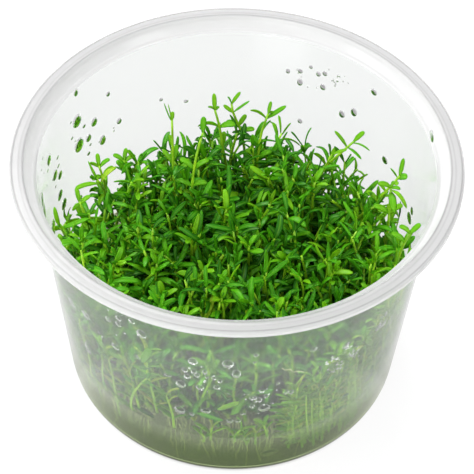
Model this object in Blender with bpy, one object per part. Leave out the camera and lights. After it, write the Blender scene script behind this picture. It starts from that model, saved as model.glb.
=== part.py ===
# Tissue culture cup of Microcarpaea minima: a clear tapered cup, a disc of nutrient gel in its base,
# the cushion of grown-together plantlets on the gel, and the taller shoots that stand out of it.
# Metres, +Z up. The origin is the centre of the cup's flat base, and -Y is the side that faces the viewer.

import math
import random

import bmesh
import bpy
from mathutils import Vector
from mathutils.bvhtree import BVHTree

# Cup
CUP_HEIGHT = 0.0655
BASE_RADIUS = 0.0408
WALL_TOP_RADIUS = 0.0449
RIM_RADIUS = 0.0500
MOUTH_RADIUS = 0.0468
WALL = 0.0006
FLOOR = 0.0008
HEEL_RADIUS = 0.0020
LEDGE_DROP = 0.0032
RIM_BEAD = 0.0016
CUP_SIDES = 56

# Gel
GEL_TOP = 0.0145
GEL_CLIMB = 0.0007
CLEARANCE = 0.0003
GEL_SIDES = 48

# Cushion of plantlets: its leafy top stands this high over the base and drops towards the walls
CUSHION_TOP = 0.0335
CUSHION_BODY_DROP = 0.0012
CUSHION_GAP = 0.0011
BACK_DROP = 0.0078
SIDE_DROP = 0.0022
EDGE_WIDTH = 0.0100
CUSHION_RINGS = 12
CUSHION_SIDES = 36

# Shoots: square-sided stems with opposite leaves, each pair turned a quarter from the pair below
STEM_HALF = 0.00050
LEAF_WIDTH = 0.0017
LEAF_THICKNESS = 0.0007
LEAF_ROOM = 0.0011
SHORT_SPACING = 0.0051
SHORT_REACH = 0.0028
FILLER_REACH = 0.0048
SHOOT_SPACING = 0.0064
FILLER_SPACING = 0.0094
FILLER_SHOOTS = 24
FILLER_HEIGHT = (0.0085, 0.0120)
LONG_FILLER = 0.0100
SHORT_HEIGHT = (0.0058, 0.0088)
SHORT_LEAF = (0.0038, 0.0045)
TALL_LEAF = (0.0050, 0.0056)
SHORT_LEAN = 0.0008
FILLER_LEAN = 0.0010
STEM_BEND = 0.0004
SHOOT_SEED = 12

# The tallest shoots: foot x and y, then tip x, y and height over the base, then pairs of leaves
TALL_SHOOTS = (
    ((-0.0155, 0.0205), (-0.0160, 0.0235, 0.0565), 4),
    ((-0.0108, 0.0136), (-0.0082, 0.0172, 0.0575), 4),
    ((-0.0031, 0.0300), (-0.0060, 0.0307, 0.0525), 3),
    ((0.0013, 0.0340), (-0.0012, 0.0348, 0.0500), 3),
    ((0.0050, 0.0280), (0.0076, 0.0304, 0.0520), 4),
    ((0.0204, 0.0258), (0.0288, 0.0274, 0.0455), 3),
    ((0.0340, 0.0125), (0.0382, 0.0137, 0.0480), 3),
    ((0.0360, 0.0045), (0.0358, 0.0070, 0.0485), 3),
    ((0.0380, -0.0046), (0.0395, -0.0045, 0.0470), 3),
    ((-0.0328, 0.0190), (-0.0336, 0.0205, 0.0410), 2),
    ((-0.0358, 0.0070), (-0.0370, 0.0080, 0.0415), 2),
    ((-0.0262, 0.0240), (-0.0272, 0.0252, 0.0395), 2),
)


def wall_inside(z):
    """Radius of the cup's inner wall at height z."""
    slope = (WALL_TOP_RADIUS - BASE_RADIUS) / (CUP_HEIGHT - LEDGE_DROP)
    return BASE_RADIUS + slope * z - WALL


def smooth(t):
    t = min(max(t, 0.0), 1.0)
    return t * t * (3.0 - 2.0 * t)


def cushion_height(x, y):
    """Height of the cushion's body: lumpy in the middle, lower at the walls, lowest at the back."""
    r = math.hypot(x, y)
    edge = smooth(1.0 - (wall_inside(CUSHION_TOP) - r) / EDGE_WIDTH)
    back = smooth((y / max(r, 1e-6) + 0.1) / 0.9)
    lumps = 0.0010 * math.sin(x * 420.0 + 1.0) * math.cos(y * 370.0 - 0.6)
    lumps += 0.0007 * math.sin((x + y) * 690.0)
    return CUSHION_TOP - CUSHION_BODY_DROP - edge * (SIDE_DROP + (BACK_DROP - SIDE_DROP) * back) + lumps


def make_material(name, colour, roughness, transmission=0.0):
    material = bpy.data.materials.new(name)
    material.use_nodes = True
    shader = material.node_tree.nodes["Principled BSDF"]
    shader.inputs["Base Color"].default_value = (*colour, 1.0)
    shader.inputs["Roughness"].default_value = roughness
    shader.inputs["Metallic"].default_value = 0.0
    shader.inputs["Transmission Weight"].default_value = transmission
    material.diffuse_color = (*colour, 1.0)
    return material


def add_object(name, bm, material, sharp_angle):
    bmesh.ops.recalc_face_normals(bm, faces=bm.faces)
    mesh = bpy.data.meshes.new(name)
    bm.to_mesh(mesh)
    bm.free()
    mesh.materials.append(material)
    mesh.shade_smooth()
    mesh.set_sharp_from_angle(angle=math.radians(sharp_angle))
    obj = bpy.data.objects.new(name, mesh)
    bpy.context.scene.collection.objects.link(obj)
    return obj


def turned(profile, sides):
    """Turns an (r, z) profile, which starts and ends on the axis, about Z."""
    bm = bmesh.new()
    points = [bm.verts.new((r, 0.0, z)) for r, z in profile]
    edges = [bm.edges.new(pair) for pair in zip(points, points[1:])]
    bmesh.ops.spin(
        bm,
        geom=points + edges,
        cent=(0.0, 0.0, 0.0),
        axis=(0.0, 0.0, 1.0),
        dvec=(0.0, 0.0, 0.0),
        angle=2.0 * math.pi,
        steps=sides,
        use_merge=True,
    )
    bmesh.ops.remove_doubles(bm, verts=bm.verts, dist=1e-6)
    return bm


def cup_profile():
    """Thin wall, rounded heel, and a lip with a step inside it and a bead round its outer edge."""
    top = CUP_HEIGHT
    ledge = top - LEDGE_DROP
    outer_at_heel = BASE_RADIUS + (WALL_TOP_RADIUS - BASE_RADIUS) * HEEL_RADIUS / ledge
    outside = [
        (0.0, 0.0),
        (BASE_RADIUS - HEEL_RADIUS, 0.0),
        (BASE_RADIUS - 0.3 * HEEL_RADIUS, 0.3 * HEEL_RADIUS),
        (outer_at_heel, HEEL_RADIUS),
        (WALL_TOP_RADIUS, ledge - 0.0006),
        (WALL_TOP_RADIUS + 0.0008, ledge + 0.0001),
        (MOUTH_RADIUS + 0.0003, top - RIM_BEAD),
        (RIM_RADIUS - 0.0005, top - RIM_BEAD),
        (RIM_RADIUS, top - RIM_BEAD + 0.0005),
        (RIM_RADIUS, top - 0.0005),
        (RIM_RADIUS - 0.0006, top),
    ]
    inside = [
        (MOUTH_RADIUS + 0.0003, top),
        (MOUTH_RADIUS - 0.0002, top - 0.0004),
        (WALL_TOP_RADIUS + 0.0002, ledge + 0.0006),
        (WALL_TOP_RADIUS - WALL, ledge - 0.0002),
        (outer_at_heel - WALL, HEEL_RADIUS + 0.0002),
        (BASE_RADIUS - 0.3 * HEEL_RADIUS - WALL, FLOOR + 0.3 * HEEL_RADIUS),
        (BASE_RADIUS - HEEL_RADIUS, FLOOR),
        (0.0, FLOOR),
    ]
    return outside + inside


def build_cup(material):
    return add_object("cup", turned(cup_profile(), CUP_SIDES), material, 35.0)


def build_gel(material):
    """Set gel with a low rim where it climbed the wall while it was liquid."""
    low = FLOOR + CLEARANCE
    corner = HEEL_RADIUS + CLEARANCE
    profile = [
        (0.0, low),
        (BASE_RADIUS - HEEL_RADIUS - WALL, low),
        (wall_inside(corner) - CLEARANCE, corner),
        (wall_inside(GEL_TOP) - CLEARANCE, GEL_TOP + GEL_CLIMB),
        (wall_inside(GEL_TOP) - 3.0 * GEL_CLIMB, GEL_TOP),
        (0.0, GEL_TOP),
    ]
    return add_object("nutrient_gel", turned(profile, GEL_SIDES), material, 40.0)


def outside_wall(point):
    """True where a leaf's tip would come within reach of the cup's wall."""
    return math.hypot(point.x, point.y) > wall_inside(point.z) - LEAF_ROOM


def grow_leaf(bm, corners, outward, up, rise, length, width):
    """Grows one leaf out of a stem's side: it widens to its middle and runs out to a point."""
    centre = sum((v.co for v in corners), Vector()) / 4.0
    along = (outward * math.cos(rise) + up * math.sin(rise)).normalized()
    while outside_wall(centre + along * length):
        length *= 0.94
    across = up.cross(outward).normalized()
    flat = along.cross(across).normalized()
    if flat.dot(up) < 0.0:
        flat = -flat
    middle = []
    for v in corners:
        side = 1.0 if (v.co - centre).dot(across) > 0.0 else -1.0
        lift = 1.0 if (v.co - centre).dot(up) > 0.0 else -1.0
        offset = across * side * width / 2.0 + flat * lift * LEAF_THICKNESS / 2.0
        middle.append(bm.verts.new(centre + along * length * 0.55 + offset))
    tip = bm.verts.new(centre + along * length)
    for i in range(4):
        j = (i + 1) % 4
        bm.faces.new((corners[i], corners[j], middle[j], middle[i]))
        bm.faces.new((middle[i], middle[j], tip))


def square_ring(bm, centre, side_x, side_y, half):
    signs = ((1, 1), (-1, 1), (-1, -1), (1, -1))
    return [bm.verts.new(centre + side_x * half * sx + side_y * half * sy) for sx, sy in signs]


def grow_shoot(bm, foot_ring, foot, tip, pairs, turn, leaf_length, bend=Vector()):
    """Grows a stem from a ring of four points at its foot to its tip, with pairs of opposite leaves."""
    axis = (tip - foot).normalized()
    side_x = Vector((math.cos(turn), math.sin(turn), 0.0))
    side_x = (side_x - axis * side_x.dot(axis)).normalized()
    side_y = axis.cross(side_x)
    length = (tip - foot).length
    band = 1.6 * STEM_HALF
    ring = foot_ring
    for k in range(pairs):
        # Leaf pairs sit closer together towards the tip.
        reach = ((k + 1) / pairs) ** 0.85
        base = foot + axis * (length - leaf_length * 0.75) * reach
        base += bend * math.sin(math.pi * reach)
        half = STEM_HALF * (1.0 - 0.25 * k / pairs)
        lower = square_ring(bm, base, side_x, side_y, half)
        upper = square_ring(bm, base + axis * band, side_x, side_y, half)
        for i in range(4):
            j = (i + 1) % 4
            bm.faces.new((ring[i], ring[j], lower[j], lower[i]))
        last = k == pairs - 1
        rise = math.radians(58.0 if last else 32.0 + 8.0 * (k % 2))
        size = leaf_length * (0.80 if last else 1.0 - 0.08 * k)
        for i, outward in enumerate((side_y, -side_x, -side_y, side_x)):
            j = (i + 1) % 4
            corners = (lower[i], lower[j], upper[j], upper[i])
            if i % 2 == k % 2:
                grow_leaf(bm, corners, outward, axis, rise, size, LEAF_WIDTH)
            else:
                bm.faces.new(corners)
        ring = upper
    bud = bm.verts.new(sum((v.co for v in ring), Vector()) / 4.0 + axis * 2.0 * band)
    for i in range(4):
        bm.faces.new((ring[i], ring[(i + 1) % 4], bud))


def cushion_grid():
    """Points of the cushion's top, ring by ring from the middle, and of its skirt and underside."""
    low = GEL_TOP + GEL_CLIMB + CLEARANCE
    outer = wall_inside(low) - CUSHION_GAP
    rings = []
    for ring in range(1, CUSHION_RINGS + 1):
        row = []
        for side in range(CUSHION_SIDES):
            angle = 2.0 * math.pi * (side + 0.5 * (ring % 2)) / CUSHION_SIDES
            r = outer * (ring / CUSHION_RINGS) ** 0.85
            x = r * math.cos(angle)
            y = r * math.sin(angle)
            row.append(Vector((x, y, cushion_height(x, y))))
        rings.append(row)
    foot = [Vector((p.x * 0.96, p.y * 0.96, low)) for p in rings[-1]]
    return rings, foot, low


def spaced_faces(cells, taken):
    """Picks top cells for the short shoots, kept apart from each other and from the tall shoots."""
    chosen = []
    centres = []
    for index, cell in enumerate(cells):
        centre = sum(cell, Vector()) / 4.0
        clear_of_tall = all((centre.xy - Vector(p)).length > SHOOT_SPACING for p in taken)
        clear_of_short = all((centre.xy - p).length > SHORT_SPACING for p in centres)
        if clear_of_tall and clear_of_short and centre.xy.length < wall_inside(GEL_TOP) - SHORT_REACH:
            chosen.append(index)
            centres.append(centre.xy.copy())
    return set(chosen)


def build_cushion(material, taken, rng):
    """Lumpy body of tangled stems and leaves, with its short shoots grown out of its top."""
    bm = bmesh.new()
    rings, foot, low = cushion_grid()
    crown = bm.verts.new((0.0, 0.0, cushion_height(0.0, 0.0)))
    loops = [[bm.verts.new(p) for p in row] for row in rings]
    loops.append([bm.verts.new(p) for p in foot])
    under = bm.verts.new((0.0, 0.0, low))
    cells = []
    for inner, outer in zip(loops[:-2], loops[1:-1]):
        for i in range(CUSHION_SIDES):
            j = (i + 1) % CUSHION_SIDES
            cells.append((inner[i], outer[i], outer[j], inner[j]))
    chosen = spaced_faces([[v.co for v in cell] for cell in cells], taken)
    body = bmesh.new()
    for index, cell in enumerate(cells):
        body.faces.new([body.verts.new(v.co) for v in cell])
        if index not in chosen:
            bm.faces.new(cell)
            continue
        centre = sum((v.co for v in cell), Vector()) / 4.0
        lean = Vector((rng.uniform(-1.0, 1.0), rng.uniform(-1.0, 1.0), 0.0)) * SHORT_LEAN
        lean -= Vector((centre.x, centre.y, 0.0)) * 0.03
        tip = centre + lean + Vector((0.0, 0.0, rng.uniform(*SHORT_HEIGHT)))
        leaf_length = rng.uniform(*SHORT_LEAF)
        turn = math.atan2((cell[0].co - centre).y, (cell[0].co - centre).x) - math.radians(45.0)
        grow_shoot(bm, cell, centre, tip, 2, turn, leaf_length)
    for i in range(CUSHION_SIDES):
        j = (i + 1) % CUSHION_SIDES
        bm.faces.new((crown, loops[0][i], loops[0][j]))
        bm.faces.new((loops[-2][i], loops[-1][i], loops[-1][j], loops[-2][j]))
        bm.faces.new((loops[-1][i], under, loops[-1][j]))
    surface = BVHTree.FromBMesh(body)
    body.free()
    add_object("plant_cushion", bm, material, 30.0)
    return surface


def top_of(surface, x, y):
    """Height of the cushion's body under a stem, at the highest point that the stem covers."""
    heights = []
    for dx in (-STEM_HALF, 0.0, STEM_HALF):
        for dy in (-STEM_HALF, 0.0, STEM_HALF):
            hit = surface.ray_cast(Vector((x + dx, y + dy, CUP_HEIGHT)), Vector((0.0, 0.0, -1.0)))[0]
            heights.append(hit.z if hit else cushion_height(x, y))
    return max(heights)


def build_shoot(name, material, surface, foot_xy, tip, pairs, rng):
    bm = bmesh.new()
    foot = Vector((*foot_xy, top_of(surface, *foot_xy) + CLEARANCE + 0.0002))
    tip = Vector(tip)
    turn = rng.uniform(0.0, math.pi)
    side_x = Vector((math.cos(turn), math.sin(turn), 0.0))
    side_y = Vector((-side_x.y, side_x.x, 0.0))
    ring = square_ring(bm, foot, side_x, side_y, STEM_HALF)
    bm.faces.new(list(reversed(ring)))
    bend = Vector((rng.uniform(-1.0, 1.0), rng.uniform(-1.0, 1.0), 0.0)) * STEM_BEND
    grow_shoot(bm, ring, foot, tip, pairs, turn, rng.uniform(*TALL_LEAF), bend)
    add_object(name, bm, material, 30.0)


def filler_places(rng):
    """Places for the middling shoots over the whole cushion, clear of the tall ones and each other."""
    places = []
    taken = [Vector(foot) for foot, tip, pairs in TALL_SHOOTS]
    taken += [Vector(tip[:2]) for foot, tip, pairs in TALL_SHOOTS]
    reach = wall_inside(GEL_TOP) - FILLER_REACH
    for attempt in range(4000):
        if len(places) == FILLER_SHOOTS:
            break
        angle = rng.uniform(0.0, 2.0 * math.pi)
        r = reach * math.sqrt(rng.random())
        spot = Vector((r * math.cos(angle), r * math.sin(angle)))
        if all((spot - p).length > FILLER_SPACING for p in taken):
            places.append(spot)
            taken.append(spot)
    return places


def main():
    for obj in list(bpy.data.objects):
        bpy.data.objects.remove(obj, do_unlink=True)
    rng = random.Random(SHOOT_SEED)
    clear_plastic = make_material("clear_plastic", (0.93, 0.94, 0.94), 0.12, 0.9)
    gel = make_material("gel", (0.74, 0.78, 0.60), 0.10, 0.8)
    cushion_green = make_material("cushion_green", (0.09, 0.30, 0.03), 0.45)
    shoot_green = make_material("shoot_green", (0.20, 0.50, 0.04), 0.40)

    build_cup(clear_plastic)
    build_gel(gel)
    fillers = filler_places(rng)
    taken = [foot for foot, tip, pairs in TALL_SHOOTS] + [tuple(spot) for spot in fillers]
    surface = build_cushion(cushion_green, taken, rng)

    shoots = [(foot, tip, pairs) for foot, tip, pairs in TALL_SHOOTS]
    for spot in fillers:
        lean = Vector((rng.uniform(-1.0, 1.0), rng.uniform(-1.0, 1.0))) * FILLER_LEAN
        height = cushion_height(spot.x, spot.y) + rng.uniform(*FILLER_HEIGHT)
        pairs = 3 if height - cushion_height(spot.x, spot.y) > LONG_FILLER else 2
        shoots.append((tuple(spot), (spot.x + lean.x, spot.y + lean.y, height), pairs))
    for number, (foot, tip, pairs) in enumerate(shoots, start=1):
        build_shoot(f"shoot_{number:02d}", shoot_green, surface, foot, tip, pairs, rng)


main()
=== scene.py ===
import math

import bpy
import numpy as np
from mathutils import Matrix, Vector


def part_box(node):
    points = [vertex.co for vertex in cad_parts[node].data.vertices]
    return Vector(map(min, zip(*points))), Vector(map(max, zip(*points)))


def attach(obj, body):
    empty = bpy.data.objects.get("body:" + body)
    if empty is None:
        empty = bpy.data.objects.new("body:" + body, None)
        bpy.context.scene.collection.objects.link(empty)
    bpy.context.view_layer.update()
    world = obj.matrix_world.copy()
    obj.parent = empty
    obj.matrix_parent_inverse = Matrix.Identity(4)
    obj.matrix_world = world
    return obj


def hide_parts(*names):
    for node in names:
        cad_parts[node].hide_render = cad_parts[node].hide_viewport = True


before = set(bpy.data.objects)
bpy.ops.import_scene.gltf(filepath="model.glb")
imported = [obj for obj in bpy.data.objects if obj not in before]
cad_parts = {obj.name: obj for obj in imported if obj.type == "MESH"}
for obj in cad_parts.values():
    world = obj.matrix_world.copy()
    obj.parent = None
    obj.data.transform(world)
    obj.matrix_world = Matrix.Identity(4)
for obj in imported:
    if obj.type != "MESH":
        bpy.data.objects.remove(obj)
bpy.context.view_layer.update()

# Camera
# It looks down into the cup's mouth from the front, nearly 50 degrees above the level, and
# close enough that the mouth nearly fills the picture. It is turned a little, as the photo is.
CAMERA_PLACE = Vector((0.0, -0.2178, 0.2843))
CAMERA_AIM = Vector((0.00044, 0.0, 0.0375))
CAMERA_TURN = math.radians(1.70)
PICTURE_WIDTH = 474
FOCAL_PIXELS = 1400
SENSOR_WIDTH = 36.0
NEAREST_SEEN = 0.01

sight = (CAMERA_AIM - CAMERA_PLACE).normalized()
level = sight.cross(Vector((0.0, 0.0, 1.0))).normalized()
below = sight.cross(level)
picture_right = level * math.cos(CAMERA_TURN) - below * math.sin(CAMERA_TURN)
picture_down = level * math.sin(CAMERA_TURN) + below * math.cos(CAMERA_TURN)
camera = bpy.data.objects.new("camera", bpy.data.cameras.new("camera"))
camera.matrix_world = Matrix.Translation(CAMERA_PLACE) @ Matrix(
    (picture_right, -picture_down, -sight)).transposed().to_4x4()
camera.data.sensor_width = SENSOR_WIDTH
camera.data.lens = SENSOR_WIDTH * FOCAL_PIXELS / PICTURE_WIDTH
camera.data.clip_start = NEAREST_SEEN
bpy.context.scene.collection.objects.link(camera)
bpy.context.scene.camera = camera

# Floor and light
# A light table: an opal sheet lit from beneath, so that the cup stands on pure white with
# hardly a shadow. Under the cup itself the sheet's glow is dimmed as a painted shadow of the
# plants and gel above, and soft boxes hang over it.
FLOOR_SIZE = 3.0
FLOOR_DROP = 0.0002
FLOOR_GLOW = 0.88
# Painted shadow: the sheet's dim glow under the cup, then the radius and soft edge of that dim disc.
PAINTED_SHADOW_GLOW = 0.13
FLOOR_SHADE = (0.12, 0.12, 0.12, 1.0)
PAINTED_SHADOW_R = 0.0405
PAINTED_SHADOW_EDGE = 0.0012
STUDIO_SHADES = ((0.0, 0.16), (0.35, 0.30), (0.75, 0.80), (1.0, 0.95))
SOFT_BOXES = (
    ((-0.20, 0.30, 0.75), 0.45, 8.0),
    ((-0.70, -0.20, 0.50), 0.30, 2.4),
    ((0.60, -0.45, 0.60), 0.30, 2.6),
    ((-0.25, -0.65, 0.30), 0.35, 1.8),
)


def new_material(name):
    """A new material, with its nodes and its links."""
    material = bpy.data.materials.new(name)
    material.use_nodes = True
    return material, material.node_tree.nodes, material.node_tree.links


def graded(nodes, links, source, start, end, low, high):
    """Turns a source's run from start to end into an even run from low to high."""
    node = nodes.new("ShaderNodeMapRange")
    for socket, value in (("From Min", start), ("From Max", end), ("To Min", low), ("To Max", high)):
        node.inputs[socket].default_value = value
    links.new(source, node.inputs["Value"])
    return node.outputs["Result"]


def set_ramp(ramp, stops):
    """Gives a ramp its stops, each a position and a colour."""
    for stop, (position, colour) in zip((ramp.elements[0], ramp.elements[1]), (stops[0], stops[-1])):
        stop.position = position
        stop.color = (*colour, 1.0)
    for position, colour in stops[1:-1]:
        ramp.elements.new(position).color = (*colour, 1.0)


def link_object(name, mesh):
    """Puts a mesh or a lamp into the scene."""
    obj = bpy.data.objects.new(name, mesh)
    bpy.context.scene.collection.objects.link(obj)
    return obj


floor_mesh = bpy.data.meshes.new("floor")
half = FLOOR_SIZE / 2.0
floor_mesh.from_pydata(
    [(-half, -half, 0.0), (half, -half, 0.0), (half, half, 0.0), (-half, half, 0.0)], [], [(0, 1, 2, 3)])
floor = link_object("floor", floor_mesh)
floor.location.z = -FLOOR_DROP
floor_paint, nodes, links = new_material("opal_sheet")
nodes["Principled BSDF"].inputs["Base Color"].default_value = FLOOR_SHADE
nodes["Principled BSDF"].inputs["Roughness"].default_value = 0.9
nodes["Principled BSDF"].inputs["Specular IOR Level"].default_value = 0.0
nodes["Principled BSDF"].inputs["Emission Color"].default_value = (1.0, 1.0, 1.0, 1.0)
table_place = nodes.new("ShaderNodeTexCoord")
from_middle = nodes.new("ShaderNodeVectorMath")
from_middle.operation = "LENGTH"
links.new(table_place.outputs["Object"], from_middle.inputs[0])
# The glow falls from the full floor glow to a dim disc under the cup: a painted shadow.
sheet_glow_with_painted_shadow = graded(
    nodes, links, from_middle.outputs["Value"], PAINTED_SHADOW_R - PAINTED_SHADOW_EDGE, PAINTED_SHADOW_R, PAINTED_SHADOW_GLOW, FLOOR_GLOW)
links.new(sheet_glow_with_painted_shadow, nodes["Principled BSDF"].inputs["Emission Strength"])
floor_mesh.materials.append(floor_paint)

sky = bpy.data.worlds.new("studio")
sky.use_nodes = True
nodes, links = sky.node_tree.nodes, sky.node_tree.links
direction = nodes.new("ShaderNodeTexCoord")
height = nodes.new("ShaderNodeSeparateXYZ")
shades = nodes.new("ShaderNodeValToRGB")
links.new(direction.outputs["Generated"], height.inputs[0])
links.new(height.outputs["Z"], shades.inputs["Fac"])
set_ramp(shades.color_ramp, [(place, (grey, grey, grey)) for place, grey in STUDIO_SHADES])
links.new(shades.outputs["Color"], nodes["Background"].inputs["Color"])
bpy.context.scene.world = sky
for number, (place, size, power) in enumerate(SOFT_BOXES, start=1):
    lamp = bpy.data.lights.new(f"soft_box_{number}", "AREA")
    lamp.size = size
    lamp.energy = power
    lamp_object = link_object(lamp.name, lamp)
    lamp_object.location = place
    lamp_object.rotation_euler = (CAMERA_AIM - Vector(place)).to_track_quat("-Z", "Y").to_euler()
bpy.context.scene.view_settings.view_transform = "Standard"

# Cup
# One thin injection moulding of clear polypropylene, open at the top and tapered so that
# the cups nest. Its lip steps outwards to a flat ring with a rounded bead, and its wall has
# the faint milky haze of the plastic.
CUP_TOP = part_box("cup")[1].z
RIM_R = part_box("cup")[1].x
MOUTH_R = 0.0468
WALL_TOP_R = 0.0449
BASE_R = 0.0408
WALL = 0.0006
BASE_FLOOR = 0.0008
HEEL = 0.0020
LEDGE_DROP = 0.0032
BEAD = 0.0016
CUP_SIDES = 192
WALL_TINT = (0.80, 0.81, 0.805)
# Painted shade: the wall's tint turns dark olive towards its foot, between the two heights that follow.
HEEL_PAINTED_SHADE = (0.42, 0.52, 0.24)
HEEL_PAINTED_SHADE_LOW = 0.008
HEEL_PAINTED_SHADE_TOP = 0.017
# Painted light and shade: the lip's tone where it faces up, painted darker against the light from above,
# and where it stands upright, painted lighter.
LIP_FLAT_PAINTED_SHADE = 0.425
LIP_STEEP_PAINTED_LIGHT = 0.86
LIP_CLEARNESS = 0.44
GEL_LINE_Z = 0.0145
HAZE_TOP = 0.050
HAZE_CLEARNESS = (0.995, 0.962)
LEDGE_BLEND = 0.0003
PLASTIC_BEND = 1.22
PLASTIC_BLUR = (0.09, 0.16)
PLASTIC_CLOUDS = 60.0
# Painted shade in the lip's grooves: each grey ring's radius, half width and grey.
LIP_PAINTED_GROOVE_SHADE = ((0.0471, 0.00035, 0.66), (0.0480, 0.0003, 0.88), (0.0494, 0.0003, 0.66))


def joined_mesh(name, points, quads, triangles=()):
    """A mesh from arrays of points, four-cornered faces and three-cornered faces."""
    points = np.asarray(points, np.float32).reshape(-1, 3)
    quads = np.asarray(quads, np.int32).reshape(-1, 4)
    triangles = np.asarray(triangles, np.int32).reshape(-1, 3)
    mesh = bpy.data.meshes.new(name)
    mesh.vertices.add(len(points))
    mesh.vertices.foreach_set("co", points.ravel())
    mesh.loops.add(quads.size + triangles.size)
    mesh.loops.foreach_set("vertex_index", np.concatenate([quads.ravel(), triangles.ravel()]))
    mesh.polygons.add(len(quads) + len(triangles))
    starts = np.concatenate([np.arange(len(quads)) * 4, quads.size + np.arange(len(triangles)) * 3])
    mesh.polygons.foreach_set("loop_start", starts.astype(np.int32))
    mesh.update(calc_edges=True)
    mesh.validate()
    mesh.shade_smooth()
    return mesh


def wall_inside(z):
    """Radius of the inner wall at height z."""
    return BASE_R + (WALL_TOP_R - BASE_R) * z / (CUP_TOP - LEDGE_DROP) - WALL


def corner_arc(centre, radius, start, end, steps):
    """Points of an arc in the (r, z) plane, its angles in degrees."""
    angles = np.radians(np.linspace(start, end, steps))
    return [(centre[0] + radius * math.cos(a), centre[1] + radius * math.sin(a)) for a in angles]


def cup_profile():
    """Section of the cup from the middle of its underside, round the lip, to the middle of its floor."""
    ledge = CUP_TOP - LEDGE_DROP
    edge = 0.00045
    heel_r = BASE_R + (WALL_TOP_R - BASE_R) * HEEL / ledge
    points = [(0.0, 0.0), (BASE_R - HEEL - 0.002, 0.0)]
    points += corner_arc((heel_r - HEEL, HEEL), HEEL, -90, 0, 7)
    points += [(WALL_TOP_R, ledge - 0.0006), (WALL_TOP_R + 0.00035, ledge - 0.0002)]
    points += [(WALL_TOP_R + 0.0009, ledge), (MOUTH_R + 0.0001, CUP_TOP - 0.0013)]
    points += [(MOUTH_R + 0.0009, CUP_TOP - 0.0009), (RIM_R - 0.0011, CUP_TOP - 0.0009)]
    points += [(RIM_R - 0.0008, CUP_TOP - BEAD + 0.0003)]
    points += corner_arc((RIM_R - 0.0004, CUP_TOP - BEAD + 0.0004), 0.0004, -150, 0, 5)
    points += corner_arc((RIM_R - edge * 1.4, CUP_TOP - edge * 1.4), edge * 1.4, 0, 90, 6)
    points += [(RIM_R - 0.0016, CUP_TOP - 0.00012), (MOUTH_R + 0.0009, CUP_TOP - 0.00012)]
    points += corner_arc((MOUTH_R + 0.0004, CUP_TOP - 0.0004), 0.0004, 90, 175, 4)
    points += [(WALL_TOP_R + 0.0003, ledge + 0.0007), (WALL_TOP_R - 0.0001, ledge + 0.0004)]
    points += [(WALL_TOP_R - WALL, ledge + 0.0002), (WALL_TOP_R - WALL - 0.00006, ledge - 0.0006)]
    inner = HEEL - WALL
    points += corner_arc((heel_r - WALL - inner, BASE_FLOOR + inner), inner, 0, -90, 6)
    points += [(0.0, BASE_FLOOR)]
    return points


def turned_mesh(name, profile, sides):
    """Turns an (r, z) profile that starts and ends on the axis."""
    rings = np.array(profile[1:-1])
    angles = 2.0 * math.pi * np.arange(sides) / sides
    points = np.zeros((len(rings), sides, 3))
    points[:, :, 0] = rings[:, :1] * np.cos(angles)
    points[:, :, 1] = rings[:, :1] * np.sin(angles)
    points[:, :, 2] = rings[:, 1:]
    here = np.arange(sides)
    after = (here + 1) % sides
    quads = [
        np.stack([k * sides + here, k * sides + after, (k + 1) * sides + after, (k + 1) * sides + here], 1)
        for k in range(len(rings) - 1)]
    count = len(rings) * sides
    ends = np.array([(0.0, 0.0, profile[0][1]), (0.0, 0.0, profile[-1][1])])
    last = (len(rings) - 1) * sides
    fans = [np.stack([np.full(sides, count), after, here], 1),
            np.stack([np.full(sides, count + 1), last + here, last + after], 1)]
    return joined_mesh(name, np.concatenate([points.reshape(-1, 3), ends]),
                       np.concatenate(quads), np.concatenate(fans))


def lets_lamps_through(nodes, links, shader):
    """The lamps' own rays pass the clear piece, so what stands inside it is lit."""
    path = nodes.new("ShaderNodeLightPath")
    clear = nodes.new("ShaderNodeBsdfTransparent")
    mix = nodes.new("ShaderNodeMixShader")
    links.new(path.outputs["Is Shadow Ray"], mix.inputs["Fac"])
    links.new(shader.outputs[0], mix.inputs[1])
    links.new(clear.outputs[0], mix.inputs[2])
    links.new(mix.outputs[0], nodes["Material Output"].inputs["Surface"])


def speckle(nodes, links, scale, detail=2.0):
    """Noise that is fixed to the piece itself."""
    place = nodes.new("ShaderNodeTexCoord")
    noise = nodes.new("ShaderNodeTexNoise")
    noise.inputs["Scale"].default_value = scale
    noise.inputs["Detail"].default_value = detail
    links.new(place.outputs["Object"], noise.inputs["Vector"])
    return noise.outputs["Fac"]


def upward(nodes, links):
    """How far a face looks up: 1 where it lies flat, 0 where it stands upright."""
    facing = nodes.new("ShaderNodeNewGeometry")
    slope = nodes.new("ShaderNodeSeparateXYZ")
    links.new(facing.outputs["Normal"], slope.inputs[0])
    return slope.outputs["Z"]


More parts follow.
